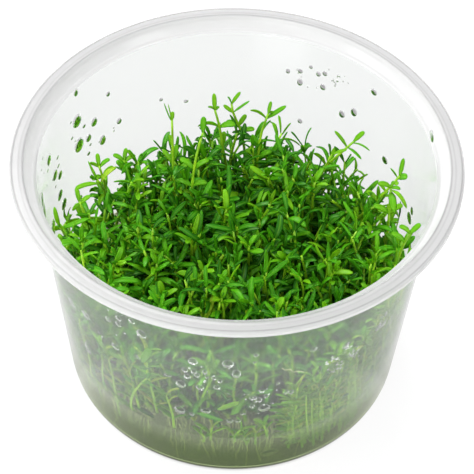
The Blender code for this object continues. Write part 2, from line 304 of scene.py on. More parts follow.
def milky_plastic():
    """Clear polypropylene: glossy, a little blurred and milky, and whitish where the lip is thick, with
    painted shade in the lip's grooves, on its upward faces and low on the wall, and painted light on its
    upright faces.
    """
    material, nodes, links = new_material("clear_polypropylene")
    shader = nodes["Principled BSDF"]
    shader.inputs["IOR"].default_value = PLASTIC_BEND
    place = nodes.new("ShaderNodeTexCoord")
    corner = nodes.new("ShaderNodeSeparateXYZ")
    links.new(place.outputs["Object"], corner.inputs[0])
    flat = nodes.new("ShaderNodeCombineXYZ")
    links.new(corner.outputs["X"], flat.inputs["X"])
    links.new(corner.outputs["Y"], flat.inputs["Y"])
    reach = nodes.new("ShaderNodeVectorMath")
    reach.operation = "LENGTH"
    links.new(flat.outputs[0], reach.inputs[0])
    across_lip = graded(nodes, links, reach.outputs["Value"], WALL_TOP_R, RIM_R, 0.0, 1.0)
    # Thin grey rings across the lip are painted shade in its grooves.
    rings = nodes.new("ShaderNodeValToRGB")
    rings.color_ramp.elements[0].color = (1.0, 1.0, 1.0, 1.0)
    rings.color_ramp.elements[1].color = (1.0, 1.0, 1.0, 1.0)
    for ring_r, half_width, grey in LIP_PAINTED_GROOVE_SHADE:
        middle = (ring_r - WALL_TOP_R) / (RIM_R - WALL_TOP_R)
        step = half_width / (RIM_R - WALL_TOP_R)
        for position, tone in ((middle - step, 1.0), (middle, grey), (middle + step, 1.0)):
            rings.color_ramp.elements.new(position).color = (tone, tone, tone, 1.0)
    links.new(across_lip, rings.inputs["Fac"])
    # The lip is painted darker where it faces up and lighter where it stands upright: painted shade and
    # light that even out the light from above.
    lip_painted_light = graded(nodes, links, upward(nodes, links), 0.0, 1.0, LIP_STEEP_PAINTED_LIGHT, LIP_FLAT_PAINTED_SHADE)
    lip_with_painted_light_and_shade = nodes.new("ShaderNodeMix")
    lip_with_painted_light_and_shade.data_type = "RGBA"
    lip_with_painted_light_and_shade.blend_type = "MULTIPLY"
    lip_with_painted_light_and_shade.inputs["Factor"].default_value = 1.0
    links.new(lip_painted_light, lip_with_painted_light_and_shade.inputs["A"])
    links.new(rings.outputs["Color"], lip_with_painted_light_and_shade.inputs["B"])
    ledge = CUP_TOP - LEDGE_DROP
    thick = graded(nodes, links, corner.outputs["Z"], ledge - LEDGE_BLEND, ledge + LEDGE_BLEND, 0.0, 1.0)
    colour = nodes.new("ShaderNodeMix")
    colour.data_type = "RGBA"
    # Low on the wall its colour runs into a dark olive tint: painted shade under the plants and gel.
    low = graded(nodes, links, corner.outputs["Z"], HEEL_PAINTED_SHADE_LOW, HEEL_PAINTED_SHADE_TOP, 0.0, 1.0)
    wall_colour_with_painted_shade = nodes.new("ShaderNodeMix")
    wall_colour_with_painted_shade.data_type = "RGBA"
    wall_colour_with_painted_shade.inputs["A"].default_value = (*HEEL_PAINTED_SHADE, 1.0)
    wall_colour_with_painted_shade.inputs["B"].default_value = (*WALL_TINT, 1.0)
    links.new(low, wall_colour_with_painted_shade.inputs["Factor"])
    links.new(wall_colour_with_painted_shade.outputs["Result"], colour.inputs["A"])
    links.new(thick, colour.inputs["Factor"])
    links.new(lip_with_painted_light_and_shade.outputs["Result"], colour.inputs["B"])
    links.new(colour.outputs["Result"], shader.inputs["Base Color"])
    blur = graded(nodes, links, speckle(nodes, links, PLASTIC_CLOUDS, 3.0), 0.0, 1.0, *PLASTIC_BLUR)
    links.new(blur, shader.inputs["Roughness"])
    haze = graded(nodes, links, corner.outputs["Z"], GEL_LINE_Z, HAZE_TOP, *HAZE_CLEARNESS)
    clearness = nodes.new("ShaderNodeMix")
    clearness.inputs["B"].default_value = LIP_CLEARNESS
    links.new(thick, clearness.inputs["Factor"])
    links.new(haze, clearness.inputs["A"])
    links.new(clearness.outputs["Result"], shader.inputs["Transmission Weight"])
    lets_lamps_through(nodes, links, shader)
    return material


cup = link_object("clear_cup", turned_mesh("clear_cup", cup_profile(), CUP_SIDES))
cup.data.materials.append(milky_plastic())
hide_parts("cup")
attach(cup, "root")

# Nutrient gel
# A disc of agar poured hot into the cup and left to set. It is clear, a little straw
# coloured, wet on top, and its edge climbs the wall in a small curve.
GEL_TOP = GEL_LINE_Z
GEL_CLIMB = 0.0008
GEL_CLIMB_WIDTH = 0.0018
GEL_CLIMB_STEPS = 6
GEL_GAP = 0.00004
GEL_SIDES = 160
GEL_TOP_CLEARNESS = 0.90
GEL_TOP_SLOPES = (0.2, 0.8)
GEL_TINT = (0.90, 0.94, 0.70, 1.0)
GEL_BEND = 1.2
GEL_BLUR = (0.03, 0.12)
GEL_RIPPLES = 220.0
GEL_RIPPLE_DEPTH = 0.0003
GEL_DEPTH_TINT = (0.60, 0.78, 0.20, 1.0)
GEL_DEPTH_DENSITY = 70.0


def gel_profile():
    """Section of the gel from the middle of its underside, up the wall, to the middle of its top."""
    low = BASE_FLOOR + GEL_GAP
    points = [(0.0, low), (BASE_R - HEEL - 0.0012, low)]
    inner = HEEL - WALL
    heel_r = BASE_R - WALL - inner
    points += corner_arc((heel_r, BASE_FLOOR + inner), inner - GEL_GAP, -80, 0, 6)
    points += [(wall_inside(GEL_TOP + GEL_CLIMB) - GEL_GAP, GEL_TOP + GEL_CLIMB)]
    for k in range(1, GEL_CLIMB_STEPS + 1):
        t = k / GEL_CLIMB_STEPS
        points.append((wall_inside(GEL_TOP) - GEL_GAP - GEL_CLIMB_WIDTH * t,
                       GEL_TOP + GEL_CLIMB * (1.0 - t) ** 2.2))
    points += [(0.030, GEL_TOP), (0.015, GEL_TOP), (0.0, GEL_TOP)]
    return points


def set_gel():
    """Clear wet gel that takes a little red and blue out of the light, with a faint skin on top."""
    material, nodes, links = new_material("set_gel")
    shader = nodes["Principled BSDF"]
    shader.inputs["Base Color"].default_value = GEL_TINT
    shader.inputs["IOR"].default_value = GEL_BEND
    cloudy_top = graded(nodes, links, upward(nodes, links), *GEL_TOP_SLOPES, 1.0, GEL_TOP_CLEARNESS)
    links.new(cloudy_top, shader.inputs["Transmission Weight"])
    ripple = speckle(nodes, links, GEL_RIPPLES)
    links.new(graded(nodes, links, ripple, 0.0, 1.0, *GEL_BLUR), shader.inputs["Roughness"])
    bump = nodes.new("ShaderNodeBump")
    bump.inputs["Strength"].default_value = 0.25
    bump.inputs["Distance"].default_value = GEL_RIPPLE_DEPTH
    links.new(ripple, bump.inputs["Height"])
    links.new(bump.outputs["Normal"], shader.inputs["Normal"])
    tint = nodes.new("ShaderNodeVolumeAbsorption")
    tint.inputs["Color"].default_value = GEL_DEPTH_TINT
    tint.inputs["Density"].default_value = GEL_DEPTH_DENSITY
    links.new(tint.outputs["Volume"], nodes["Material Output"].inputs["Volume"])
    lets_lamps_through(nodes, links, shader)
    return material


gel = link_object("set_nutrient_gel", turned_mesh("set_nutrient_gel", gel_profile(), GEL_SIDES))
gel.data.materials.append(set_gel())
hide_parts("nutrient_gel")
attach(gel, "root")

# Roots
# Fine pale roots that the plantlets push down into the gel. They grow near the wall, where
# they show, lean and wander a little, taper downwards and end at different depths.
ROOT_COUNT = 560
ROOT_R = 0.00010
ROOT_STEPS = 9
ROOT_SIDES = 5
ROOT_START = 0.0015
ROOT_SHORTEST = 0.004
ROOT_WANDER = 0.00024
ROOT_LEAN = 0.0009
ROOT_ROOM = 0.0006
ROOT_SHADES = ((0.0, (0.34, 0.44, 0.14)), (1.0, (0.60, 0.66, 0.34)))
root_dice = np.random.default_rng(5)


def tube_rings(path, radii, sides):
    """Rings of points round each line of a batch: path is (lines, steps, 3), radii is (lines, steps)."""
    along = np.gradient(path, axis=1)
    along /= np.linalg.norm(along, axis=2, keepdims=True) + 1e-12
    guide = np.zeros_like(along)
    guide[..., 0] = np.where(np.abs(along[..., 0]) < 0.8, 1.0, 0.0)
    guide[..., 1] = 1.0 - guide[..., 0]
    first = np.cross(along, guide)
    first /= np.linalg.norm(first, axis=2, keepdims=True) + 1e-12
    second = np.cross(along, first)
    turn = 2.0 * math.pi * np.arange(sides) / sides
    ring = (first[:, :, None, :] * np.cos(turn)[:, None] + second[:, :, None, :] * np.sin(turn)[:, None])
    return path[:, :, None, :] + ring * radii[:, :, None, None]


def tube_faces(lines, steps, sides):
    """Faces of a batch of closed tubes whose points run line by line, ring by ring."""
    line, step, side = np.meshgrid(np.arange(lines), np.arange(steps - 1), np.arange(sides), indexing="ij")
    after = (side + 1) % sides
    here = (line * steps + step) * sides
    above = here + sides
    quads = np.stack([here + side, here + after, above + after, above + side], -1).reshape(-1, 4)
    line, side = np.meshgrid(np.arange(lines), np.arange(1, sides - 1), indexing="ij")
    low = line * steps * sides
    high = low + (steps - 1) * sides
    caps = np.concatenate([np.stack([low, low + side + 1, low + side], -1).reshape(-1, 3),
                           np.stack([high, high + side, high + side + 1], -1).reshape(-1, 3)])
    return quads, caps


def root_paths():
    """Centre lines and radii of all the roots."""
    r = (wall_inside(0.008) - 0.0008) * np.sqrt(root_dice.uniform(0.62, 1.0, ROOT_COUNT))
    angle = root_dice.uniform(0.0, 2.0 * math.pi, ROOT_COUNT)
    t = np.linspace(0.0, 1.0, ROOT_STEPS)
    depth = root_dice.uniform(ROOT_SHORTEST, GEL_TOP - BASE_FLOOR - ROOT_ROOM, ROOT_COUNT)
    path = np.zeros((ROOT_COUNT, ROOT_STEPS, 3))
    wander = np.cumsum(root_dice.normal(0.0, ROOT_WANDER, (ROOT_COUNT, ROOT_STEPS, 2)), axis=1)
    wander += root_dice.normal(0.0, ROOT_LEAN, (ROOT_COUNT, 1, 2)) * t[None, :, None]
    path[..., 0] = (r * np.cos(angle))[:, None] + wander[..., 0]
    path[..., 1] = (r * np.sin(angle))[:, None] + wander[..., 1]
    path[..., 2] = GEL_TOP + ROOT_START - (depth + ROOT_START)[:, None] * t
    reach = np.hypot(path[..., 0], path[..., 1])
    limit = wall_inside(HEEL) - ROOT_ROOM
    path[..., :2] *= np.minimum(1.0, limit / reach)[..., None]
    return path, ROOT_R * (1.25 - 0.6 * t)[None, :] * root_dice.uniform(0.7, 1.3, ROOT_COUNT)[:, None]


def root_skin():
    """Pale, slightly green root tissue."""
    material, nodes, links = new_material("pale_root")
    shader = nodes["Principled BSDF"]
    shader.inputs["Roughness"].default_value = 0.35
    colours = nodes.new("ShaderNodeValToRGB")
    set_ramp(colours.color_ramp, ROOT_SHADES)
    links.new(speckle(nodes, links, 300.0), colours.inputs["Fac"])
    links.new(colours.outputs["Color"], shader.inputs["Base Color"])
    return material


root_path, root_radii = root_paths()
root_points = tube_rings(root_path, root_radii, ROOT_SIDES)
root_quads, root_caps = tube_faces(ROOT_COUNT, ROOT_STEPS, ROOT_SIDES)
roots = link_object("roots", joined_mesh("roots", root_points, root_quads, root_caps))
roots.data.materials.append(root_skin())
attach(roots, "root")

# Cushion of plantlets
# Hundreds of thin, upright stems grown together from the gel, each with opposite narrow
# leaves that turn a quarter from pair to pair. The leaves' tone is painted darker pair by
# pair downwards as painted shade, and lighter near the side walls as painted light, so the
# low leaves are dark and the top is a jumble of bright ones.
CANOPY_TOP = 0.0372
EDGE_WIDTH = 0.0105
BACK_DROP = 0.0085
SIDE_DROP = 0.0020
STEM_R = 0.00042
STEM_STEPS = 12
STEM_SIDES = 6
STEM_SPACING = 0.0029
STEM_LIMIT = 520
STEM_FOOT_DEPTH = 0.0015
STEM_LEAN = 0.0036
STEM_BEND = 0.0018
STEM_WALL_GAP = 0.0009
TIP_WALL_GAP = 0.0012
TIP_HEIGHTS = (-0.0010, 0.0026)
STEM_SHADES = ((0.30, (0.140, 0.360, 0.008)), (0.75, (0.32, 0.58, 0.020)))
WALL_ROOM = 0.00025
LEAF_SHADES = (
    (0.00, (0.008, 0.050, 0.002)),
    (0.30, (0.021, 0.168, 0.003)),
    (0.60, (0.066, 0.330, 0.003)),
    (0.86, (0.175, 0.430, 0.005)),
    (0.94, (0.340, 0.520, 0.030)),
    (1.00, (0.56, 0.58, 0.14)),
)
LEAF_RIB_SHADE = (0.22, 0.52, 0.03, 1.0)
LEAF_RIB_WIDTH = 0.35
LEAF_RIB_STRENGTH = 0.30
LEAF_BLUR = (0.28, 0.50)
LEAF_GRAIN_DEPTH = 0.00008
LEAF_GLOW = 0.30
leaf_dice = np.random.default_rng(21)


def smooth(t):
    """An S-shaped run from 0 to 1."""
    t = np.clip(t, 0.0, 1.0)
    return t * t * (3.0 - 2.0 * t)


def canopy_height(x, y):
    """Height of the shoot tips: level in the middle, lower at the wall and lowest at the back."""
    r = np.hypot(x, y)
    edge = smooth(1.0 - (wall_inside(CANOPY_TOP) - r) / EDGE_WIDTH)
    back = smooth((y / np.maximum(r, 1e-6) + 0.1) / 0.9)
    swell = 0.0012 * np.sin(x * 260.0 + 1.0) * np.cos(y * 230.0 - 0.6) + 0.0008 * np.sin((x + y) * 520.0)
    return CANOPY_TOP - edge * (SIDE_DROP + (BACK_DROP - SIDE_DROP) * back) + swell


def root_reach(x, y):
    """How far from the middle the plantlets are rooted: nearest to the wall at the sides."""
    r = np.maximum(np.hypot(x, y), 1e-6)
    front = smooth((-y / r - 0.86) / 0.12)
    back = smooth((y / r - 0.35) / 0.55)
    return wall_inside(GEL_TOP) - 0.0012 - 0.0045 * front - 0.0035 * back


def scattered(count_limit, spacing, radius, dice):
    """Points in a disc that keep their distance from each other."""
    cell = {}
    found = []
    for attempt in range(count_limit * 30):
        r = radius * math.sqrt(dice.random())
        a = dice.random() * 2.0 * math.pi
        x, y = r * math.cos(a), r * math.sin(a)
        key = (int(x // spacing), int(y // spacing))
        near = [p for i in (-1, 0, 1) for j in (-1, 0, 1) for p in cell.get((key[0] + i, key[1] + j), ())]
        if all((x - p[0]) ** 2 + (y - p[1]) ** 2 > spacing ** 2 for p in near):
            cell.setdefault(key, []).append((x, y))
            found.append((x, y))
            if len(found) == count_limit:
                break
    return np.array(found)


class LeafCut:
    """How finely a leaf is cut: its stations, its outline, and the points round its section."""

    def __init__(self, stations, across, through, lift):
        step = np.linspace(0.0, 1.0, stations)
        self.along = 1.0 - (1.0 - step) ** 1.4
        blunt = np.clip((self.along - 0.62) / 0.38, 0.0, 1.0)
        foot = 0.42 + 0.58 * smooth(self.along / 0.34)
        self.half = foot * np.sqrt(np.maximum(1.0 - blunt ** 2.2, 0.006))
        self.across = np.array(across)
        self.through = np.array(through)
        self.lift = np.array(lift)


FINE_LEAF = LeafCut(9, (-1.0, -0.5, 0.0, 0.5, 1.0, 0.0), (0.0, 0.55, 0.25, 0.55, 0.0, -0.75),
                    (1.0, 0.45, 0.0, 0.45, 1.0, -0.05))
PLAIN_LEAF = LeafCut(7, (-1.0, 0.0, 1.0, 0.0), (0.0, 0.30, 0.0, -0.70), (1.0, 0.0, 1.0, -0.05))
LEAF_THICK = 0.00024


def blades(cut, line, across, face, width, fold):
    """Points of a batch of leaves, (leaves, stations, ring, 3), round their middle lines."""
    half = cut.half[None, :, None] * width[:, None, None] / 2.0
    spread = across[:, :, None, :] * (half * cut.across)[..., None]
    through = LEAF_THICK * np.minimum(1.0, cut.half * 1.5)[None, :, None] * cut.through
    lift = half * fold[:, None, None] * cut.lift + through
    return line[:, :, None, :] + spread + face[:, :, None, :] * lift[..., None]


def curved_leaves(cut, base, axis, outward, length, width, rise, droop, fold, yaw, twist):
    """A batch of leaves that leave their stems at an angle and arch over. Angles are in radians."""
    t = cut.along
    steps = np.diff(t, prepend=0.0)
    angle = rise[:, None] - droop[:, None] * t[None, :] ** 1.3
    side = np.cross(axis, outward)
    turned = outward[:, None, :] * np.cos(yaw[:, None] * t)[..., None]
    turned = turned + side[:, None, :] * np.sin(yaw[:, None] * t)[..., None]
    along = turned * np.cos(angle)[..., None] + axis[:, None, :] * np.sin(angle)[..., None]
    face = -turned * np.sin(angle)[..., None] + axis[:, None, :] * np.cos(angle)[..., None]
    across = np.cross(along, face)
    roll = (twist[:, None] * t)[..., None]
    rolled = across * np.cos(roll) + face * np.sin(roll)
    face = face * np.cos(roll) - across * np.sin(roll)
    line = base[:, None, :] + np.cumsum(along * (steps[None, :] * length[:, None])[..., None], axis=1)
    return blades(cut, line, rolled, face, width, fold)


def grow_stems(feet, tips, bend, dice):
    """Centre lines of a batch of stems, (stems, steps, 3), which sway a little on their way up."""
    t = np.linspace(0.0, 1.0, STEM_STEPS)[None, :, None]
    sway = np.sin(t * math.pi) * bend[:, None, :]
    wave = np.sin(t * dice.uniform(5.0, 9.0, (len(feet), 1, 1)) + dice.uniform(0.0, 6.0, (len(feet), 1, 1)))
    drift = dice.normal(0.0, 0.00035, (len(feet), 1, 3)) * wave * t
    return feet[:, None, :] * (1.0 - t) + tips[:, None, :] * t + sway + drift


def at_height(path, share):
    """Points and directions at given shares of the way up their own stems."""
    place = np.clip(share, 0.0, 1.0) * (STEM_STEPS - 1)
    low = np.minimum(place.astype(int), STEM_STEPS - 2)
    part = (place - low)[:, None]
    rows = np.arange(len(path))
    below, above = path[rows, low], path[rows, low + 1]
    axis = above - below
    axis /= np.linalg.norm(axis, axis=1, keepdims=True)
    return below * (1.0 - part) + above * part, axis


def hold_inside(points):
    """Whatever would pass through the wall lies pressed against it."""
    r = np.hypot(points[..., 0], points[..., 1])
    limit = wall_inside(points[..., 2]) - WALL_ROOM
    points[..., :2] *= np.minimum(1.0, limit / np.maximum(r, 1e-9))[..., None]
    return points


def leaf_mesh(name, cut, points, shade):
    """Joins a batch of leaves into one mesh and keeps, point by point, what colours them."""
    leaves, stations, ring = points.shape[:3]
    quads, caps = tube_faces(leaves, stations, ring)
    mesh = joined_mesh(name, points, quads, caps)
    for kind, values in (
            ("shade", np.asarray(shade)[:, None, None]),
            ("rib", np.abs(cut.across)[None, None, :]),
            ("along", cut.along[None, :, None])):
        layer = mesh.attributes.new(kind, "FLOAT", "POINT")
        spread = np.broadcast_to(values, (leaves, stations, ring)).astype(np.float32)
        layer.data.foreach_set("value", spread.ravel())
    return mesh


def attribute_value(nodes, name):
    """A value that the mesh keeps point by point."""
    node = nodes.new("ShaderNodeAttribute")
    node.attribute_name = name
    return node.outputs["Fac"]


def leaf_skin():
    """Living leaf: deep green to yellow-green along a tone that holds random variation, painted shade and
    painted light, with a faint pale midrib.
    """
    material, nodes, links = new_material("leaf_skin")
    shader = nodes["Principled BSDF"]
    shader.inputs["Specular IOR Level"].default_value = 0.17
    mottle = speckle(nodes, links, 900.0, 3.0)
    stir = nodes.new("ShaderNodeMath")
    stir.operation = "MULTIPLY_ADD"
    stir.inputs[1].default_value = 0.22
    links.new(mottle, stir.inputs[0])
    links.new(attribute_value(nodes, "shade"), stir.inputs[2])
    green = nodes.new("ShaderNodeValToRGB")
    set_ramp(green.color_ramp, LEAF_SHADES)
    links.new(stir.outputs[0], green.inputs["Fac"])
    vein = graded(nodes, links, attribute_value(nodes, "rib"), 0.0, LEAF_RIB_WIDTH, LEAF_RIB_STRENGTH, 0.0)
    blend = nodes.new("ShaderNodeMix")
    blend.data_type = "RGBA"
    blend.inputs["B"].default_value = LEAF_RIB_SHADE
    links.new(vein, blend.inputs["Factor"])
    links.new(green.outputs["Color"], blend.inputs["A"])
    links.new(blend.outputs["Result"], shader.inputs["Base Color"])
    links.new(graded(nodes, links, mottle, 0.0, 1.0, *LEAF_BLUR), shader.inputs["Roughness"])
    grain = nodes.new("ShaderNodeBump")
    grain.inputs["Strength"].default_value = 0.3
    grain.inputs["Distance"].default_value = LEAF_GRAIN_DEPTH
    links.new(mottle, grain.inputs["Height"])
    links.new(grain.outputs["Normal"], shader.inputs["Normal"])
    glow = nodes.new("ShaderNodeBsdfTranslucent")
    links.new(blend.outputs["Result"], glow.inputs["Color"])
    mix = nodes.new("ShaderNodeMixShader")
    mix.inputs["Fac"].default_value = LEAF_GLOW
    links.new(shader.outputs[0], mix.inputs[1])
    links.new(glow.outputs[0], mix.inputs[2])
    links.new(mix.outputs[0], nodes["Material Output"].inputs["Surface"])
    return material


def stem_skin():
    """Soft, pale yellow-green stem, a little darker in patches."""
    material, nodes, links = new_material("stem_skin")
    shader = nodes["Principled BSDF"]
    shader.inputs["Roughness"].default_value = 0.38
    shader.inputs["Specular IOR Level"].default_value = 0.35
    colours = nodes.new("ShaderNodeValToRGB")
    set_ramp(colours.color_ramp, STEM_SHADES)
    links.new(speckle(nodes, links, 260.0), colours.inputs["Fac"])
    links.new(colours.outputs["Color"], shader.inputs["Base Color"])
    return material


def leaf_pair(cut, path, share, turn, length, width, rise, droop, dice):
    """Both leaves of one pair on every stem of a batch."""
    base, axis = at_height(path, share)
    flat = np.stack([np.cos(turn), np.sin(turn), np.zeros_like(turn)], 1)
    flat -= axis * np.sum(flat * axis, axis=1, keepdims=True)
    flat /= np.linalg.norm(flat, axis=1, keepdims=True)
    both = []
    for sign in (1.0, -1.0):
        n = len(base)
        both.append(curved_leaves(
            cut, base + flat * sign * STEM_R * 0.6, axis, flat * sign,
            length * dice.uniform(0.72, 1.18, n), width * dice.uniform(0.76, 1.08, n),
            rise + dice.normal(0.0, 0.26, n), droop * dice.uniform(0.2, 1.9, n),
            dice.uniform(0.10, 0.55, n), dice.normal(0.0, 0.34, n), dice.normal(0.0, 0.7, n)))
    return np.concatenate(both)


feet_xy = scattered(STEM_LIMIT, STEM_SPACING, wall_inside(GEL_TOP) - STEM_WALL_GAP, leaf_dice)
feet_xy = feet_xy[np.hypot(feet_xy[:, 0], feet_xy[:, 1]) < root_reach(feet_xy[:, 0], feet_xy[:, 1])]
stem_count = len(feet_xy)
lean = leaf_dice.normal(0.0, STEM_LEAN, (stem_count, 2))
tip_xy = feet_xy * 1.02 + lean
tip_r = np.hypot(tip_xy[:, 0], tip_xy[:, 1])
tip_xy *= np.minimum(1.0, (wall_inside(0.035) - TIP_WALL_GAP) / tip_r)[:, None]
tip_z = canopy_height(tip_xy[:, 0], tip_xy[:, 1]) + leaf_dice.normal(*TIP_HEIGHTS, stem_count)
feet = np.column_stack([feet_xy, np.full(stem_count, GEL_TOP - STEM_FOOT_DEPTH)])
tips = np.column_stack([tip_xy, tip_z])
stem_bend = leaf_dice.normal(0.0, STEM_BEND, (stem_count, 3)) * (1.0, 1.0, 0.2)
stem_paths = grow_stems(feet, tips, stem_bend, leaf_dice)
stem_length = np.linalg.norm(tips - feet, axis=1)
stem_tone = np.clip(leaf_dice.normal(0.0, 0.10, stem_count), -0.2, 0.25)

# Pairs of leaves from the tip down: distance under the tip, length and width in metres, rise
# and droop in degrees, and how finely they are cut.
LEAF_PAIRS = (
    (0.0002, 0.0042, 0.00105, 70, 24, FINE_LEAF),
    (0.0022, 0.0063, 0.00140, 54, 52, FINE_LEAF),
    (0.0058, 0.0072, 0.00150, 40, 60, FINE_LEAF),
    (0.0100, 0.0070, 0.00150, 28, 54, PLAIN_LEAF),
    (0.0142, 0.0066, 0.00150, 18, 44, PLAIN_LEAF),
    (0.0184, 0.0062, 0.00145, 12, 34, PLAIN_LEAF),
)
LEAF_LOSS = 0.07
LOWEST_LEAF = 0.12
# Painted shade: each pair further down is painted this much darker. Painted light: leaves near the side
# walls are painted up to this much lighter.
PAIR_PAINTED_SHADE = 0.055
WALL_PAINTED_LIGHT = 0.20
FADED_SHARE = 0.007
first_turn = leaf_dice.uniform(0.0, 2.0 * math.pi, stem_count)
leaf_material = leaf_skin()
stem_material = stem_skin()
for number, (drop, length, width, rise, droop, cut) in enumerate(LEAF_PAIRS):
    share = 1.0 - drop * leaf_dice.uniform(0.8, 1.25, stem_count) / stem_length
    kept = (share > LOWEST_LEAF) & (leaf_dice.random(stem_count) > LEAF_LOSS * number)
    turn = first_turn + math.pi / 2.0 * number + leaf_dice.normal(0.0, 0.25, stem_count)
    size = np.clip(leaf_dice.normal(1.0, 0.14, stem_count), 0.65, 1.35)
    points = leaf_pair(
        cut, stem_paths[kept], share[kept], turn[kept], (length * size)[kept], (width * size ** 0.5)[kept],
        math.radians(rise), math.radians(droop), leaf_dice)
    near_wall = smooth((np.tile(tip_r[kept], 2) - 0.026) / 0.014)
    to_side = np.abs(np.tile(tip_xy[kept, 0] / tip_r[kept], 2))
    # Leaf tone: random, painted darker pair by pair downwards as painted shade, and lighter near the side
    # walls as painted light.
    shade = (0.40 - PAIR_PAINTED_SHADE * number + np.tile(stem_tone[kept], 2) + WALL_PAINTED_LIGHT * near_wall * to_side
             + leaf_dice.normal(0.0, 0.12, len(points)))
    faded = leaf_dice.random(len(points)) > 1.0 - FADED_SHARE
    shade = np.where(faded, leaf_dice.uniform(0.70, 0.84, len(points)), np.clip(shade, 0.02, 0.68))
    name = f"leaves_{number + 1}"
    leaves = link_object(name, leaf_mesh(name, cut, hold_inside(points), shade))
    leaves.data.materials.append(leaf_material)
    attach(leaves, "root")
    if number == 0:
        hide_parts("plant_cushion")

# The mat at the foot of the crowd: old leaves and creeping ends that lie over the gel, most painted
# near-black as painted shade.
MAT_LEAVES = 1500
MAT_RISE = 0.0060
MAT_WALL_GAP = 0.0060
MAT_LENGTHS = (0.0042, 0.0068)
MAT_WIDTHS = (0.0012, 0.0019)
mat_angle = leaf_dice.uniform(0.0, 2.0 * math.pi, MAT_LEAVES)
mat_r = (wall_inside(GEL_TOP) - MAT_WALL_GAP) * np.sqrt(leaf_dice.random(MAT_LEAVES))
mat_base = np.column_stack([
    mat_r * np.cos(mat_angle), mat_r * np.sin(mat_angle),
    GEL_TOP + 0.0006 + MAT_RISE * leaf_dice.random(MAT_LEAVES) ** 1.3])
mat_turn = leaf_dice.uniform(0.0, 2.0 * math.pi, MAT_LEAVES)
mat_points = hold_inside(curved_leaves(
    PLAIN_LEAF, mat_base, np.broadcast_to((0.0, 0.0, 1.0), (MAT_LEAVES, 3)),
    np.column_stack([np.cos(mat_turn), np.sin(mat_turn), np.zeros(MAT_LEAVES)]),
    leaf_dice.uniform(*MAT_LENGTHS, MAT_LEAVES), leaf_dice.uniform(*MAT_WIDTHS, MAT_LEAVES),
    leaf_dice.uniform(0.05, 0.75, MAT_LEAVES), leaf_dice.uniform(0.1, 0.7, MAT_LEAVES),
    leaf_dice.uniform(0.1, 0.5, MAT_LEAVES), leaf_dice.normal(0.0, 0.4, MAT_LEAVES),
    leaf_dice.normal(0.0, 0.8, MAT_LEAVES)))
mat_points[..., 2] = np.maximum(mat_points[..., 2], GEL_TOP + 0.0001)
# Most mat leaves are painted near-black as painted shade; one in twenty is bright.
mat_tone_and_painted_shade = np.where(leaf_dice.random(MAT_LEAVES) > 0.95, 0.84, leaf_dice.uniform(0.0, 0.30, MAT_LEAVES))
mat = link_object("leaf_mat", leaf_mesh("leaf_mat", PLAIN_LEAF, mat_points, mat_tone_and_painted_shade))
mat.data.materials.append(leaf_material)
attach(mat, "root")

share_up = np.linspace(0.0, 1.0, STEM_STEPS)
stem_radii = STEM_R * (1.1 - 0.45 * share_up)[None, :] * leaf_dice.uniform(0.8, 1.2, stem_count)[:, None]
stem_quads, stem_caps = tube_faces(stem_count, STEM_STEPS, STEM_SIDES)
stems = link_object("stems", joined_mesh(
    "stems", hold_inside(tube_rings(stem_paths, stem_radii, STEM_SIDES)), stem_quads, stem_caps))
stems.data.materials.append(stem_material)
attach(stems, "root")

# Standing shoots
# The shoots that rise clear of the cushion: soft living stems with opposite leaves, rooted in
# it. The twelve that stand out are shaped leaf by leaf, and the others have five plain pairs.
MM = 0.001
SHOOT_TONES = (0.61, 0.06)
SHOOT_TONE_LIMITS = (0.46, 0.72)
SHOOT_FOOT_DEPTH = 0.012
SHOOT_TIP_DROP = 0.0030
# A plain shoot's pairs from the tip down: distance under the tip, length and rise in degrees.
CROWD_PAIRS = ((0.0001, 0.0034, 70), (0.0014, 0.0050, 54), (0.0044, 0.0058, 42), (0.0086, 0.0060, 32),
               (0.0128, 0.0058, 22))
CROWD_LEAF_WIDTH = 0.00140
CROWD_DROOP = math.radians(30)
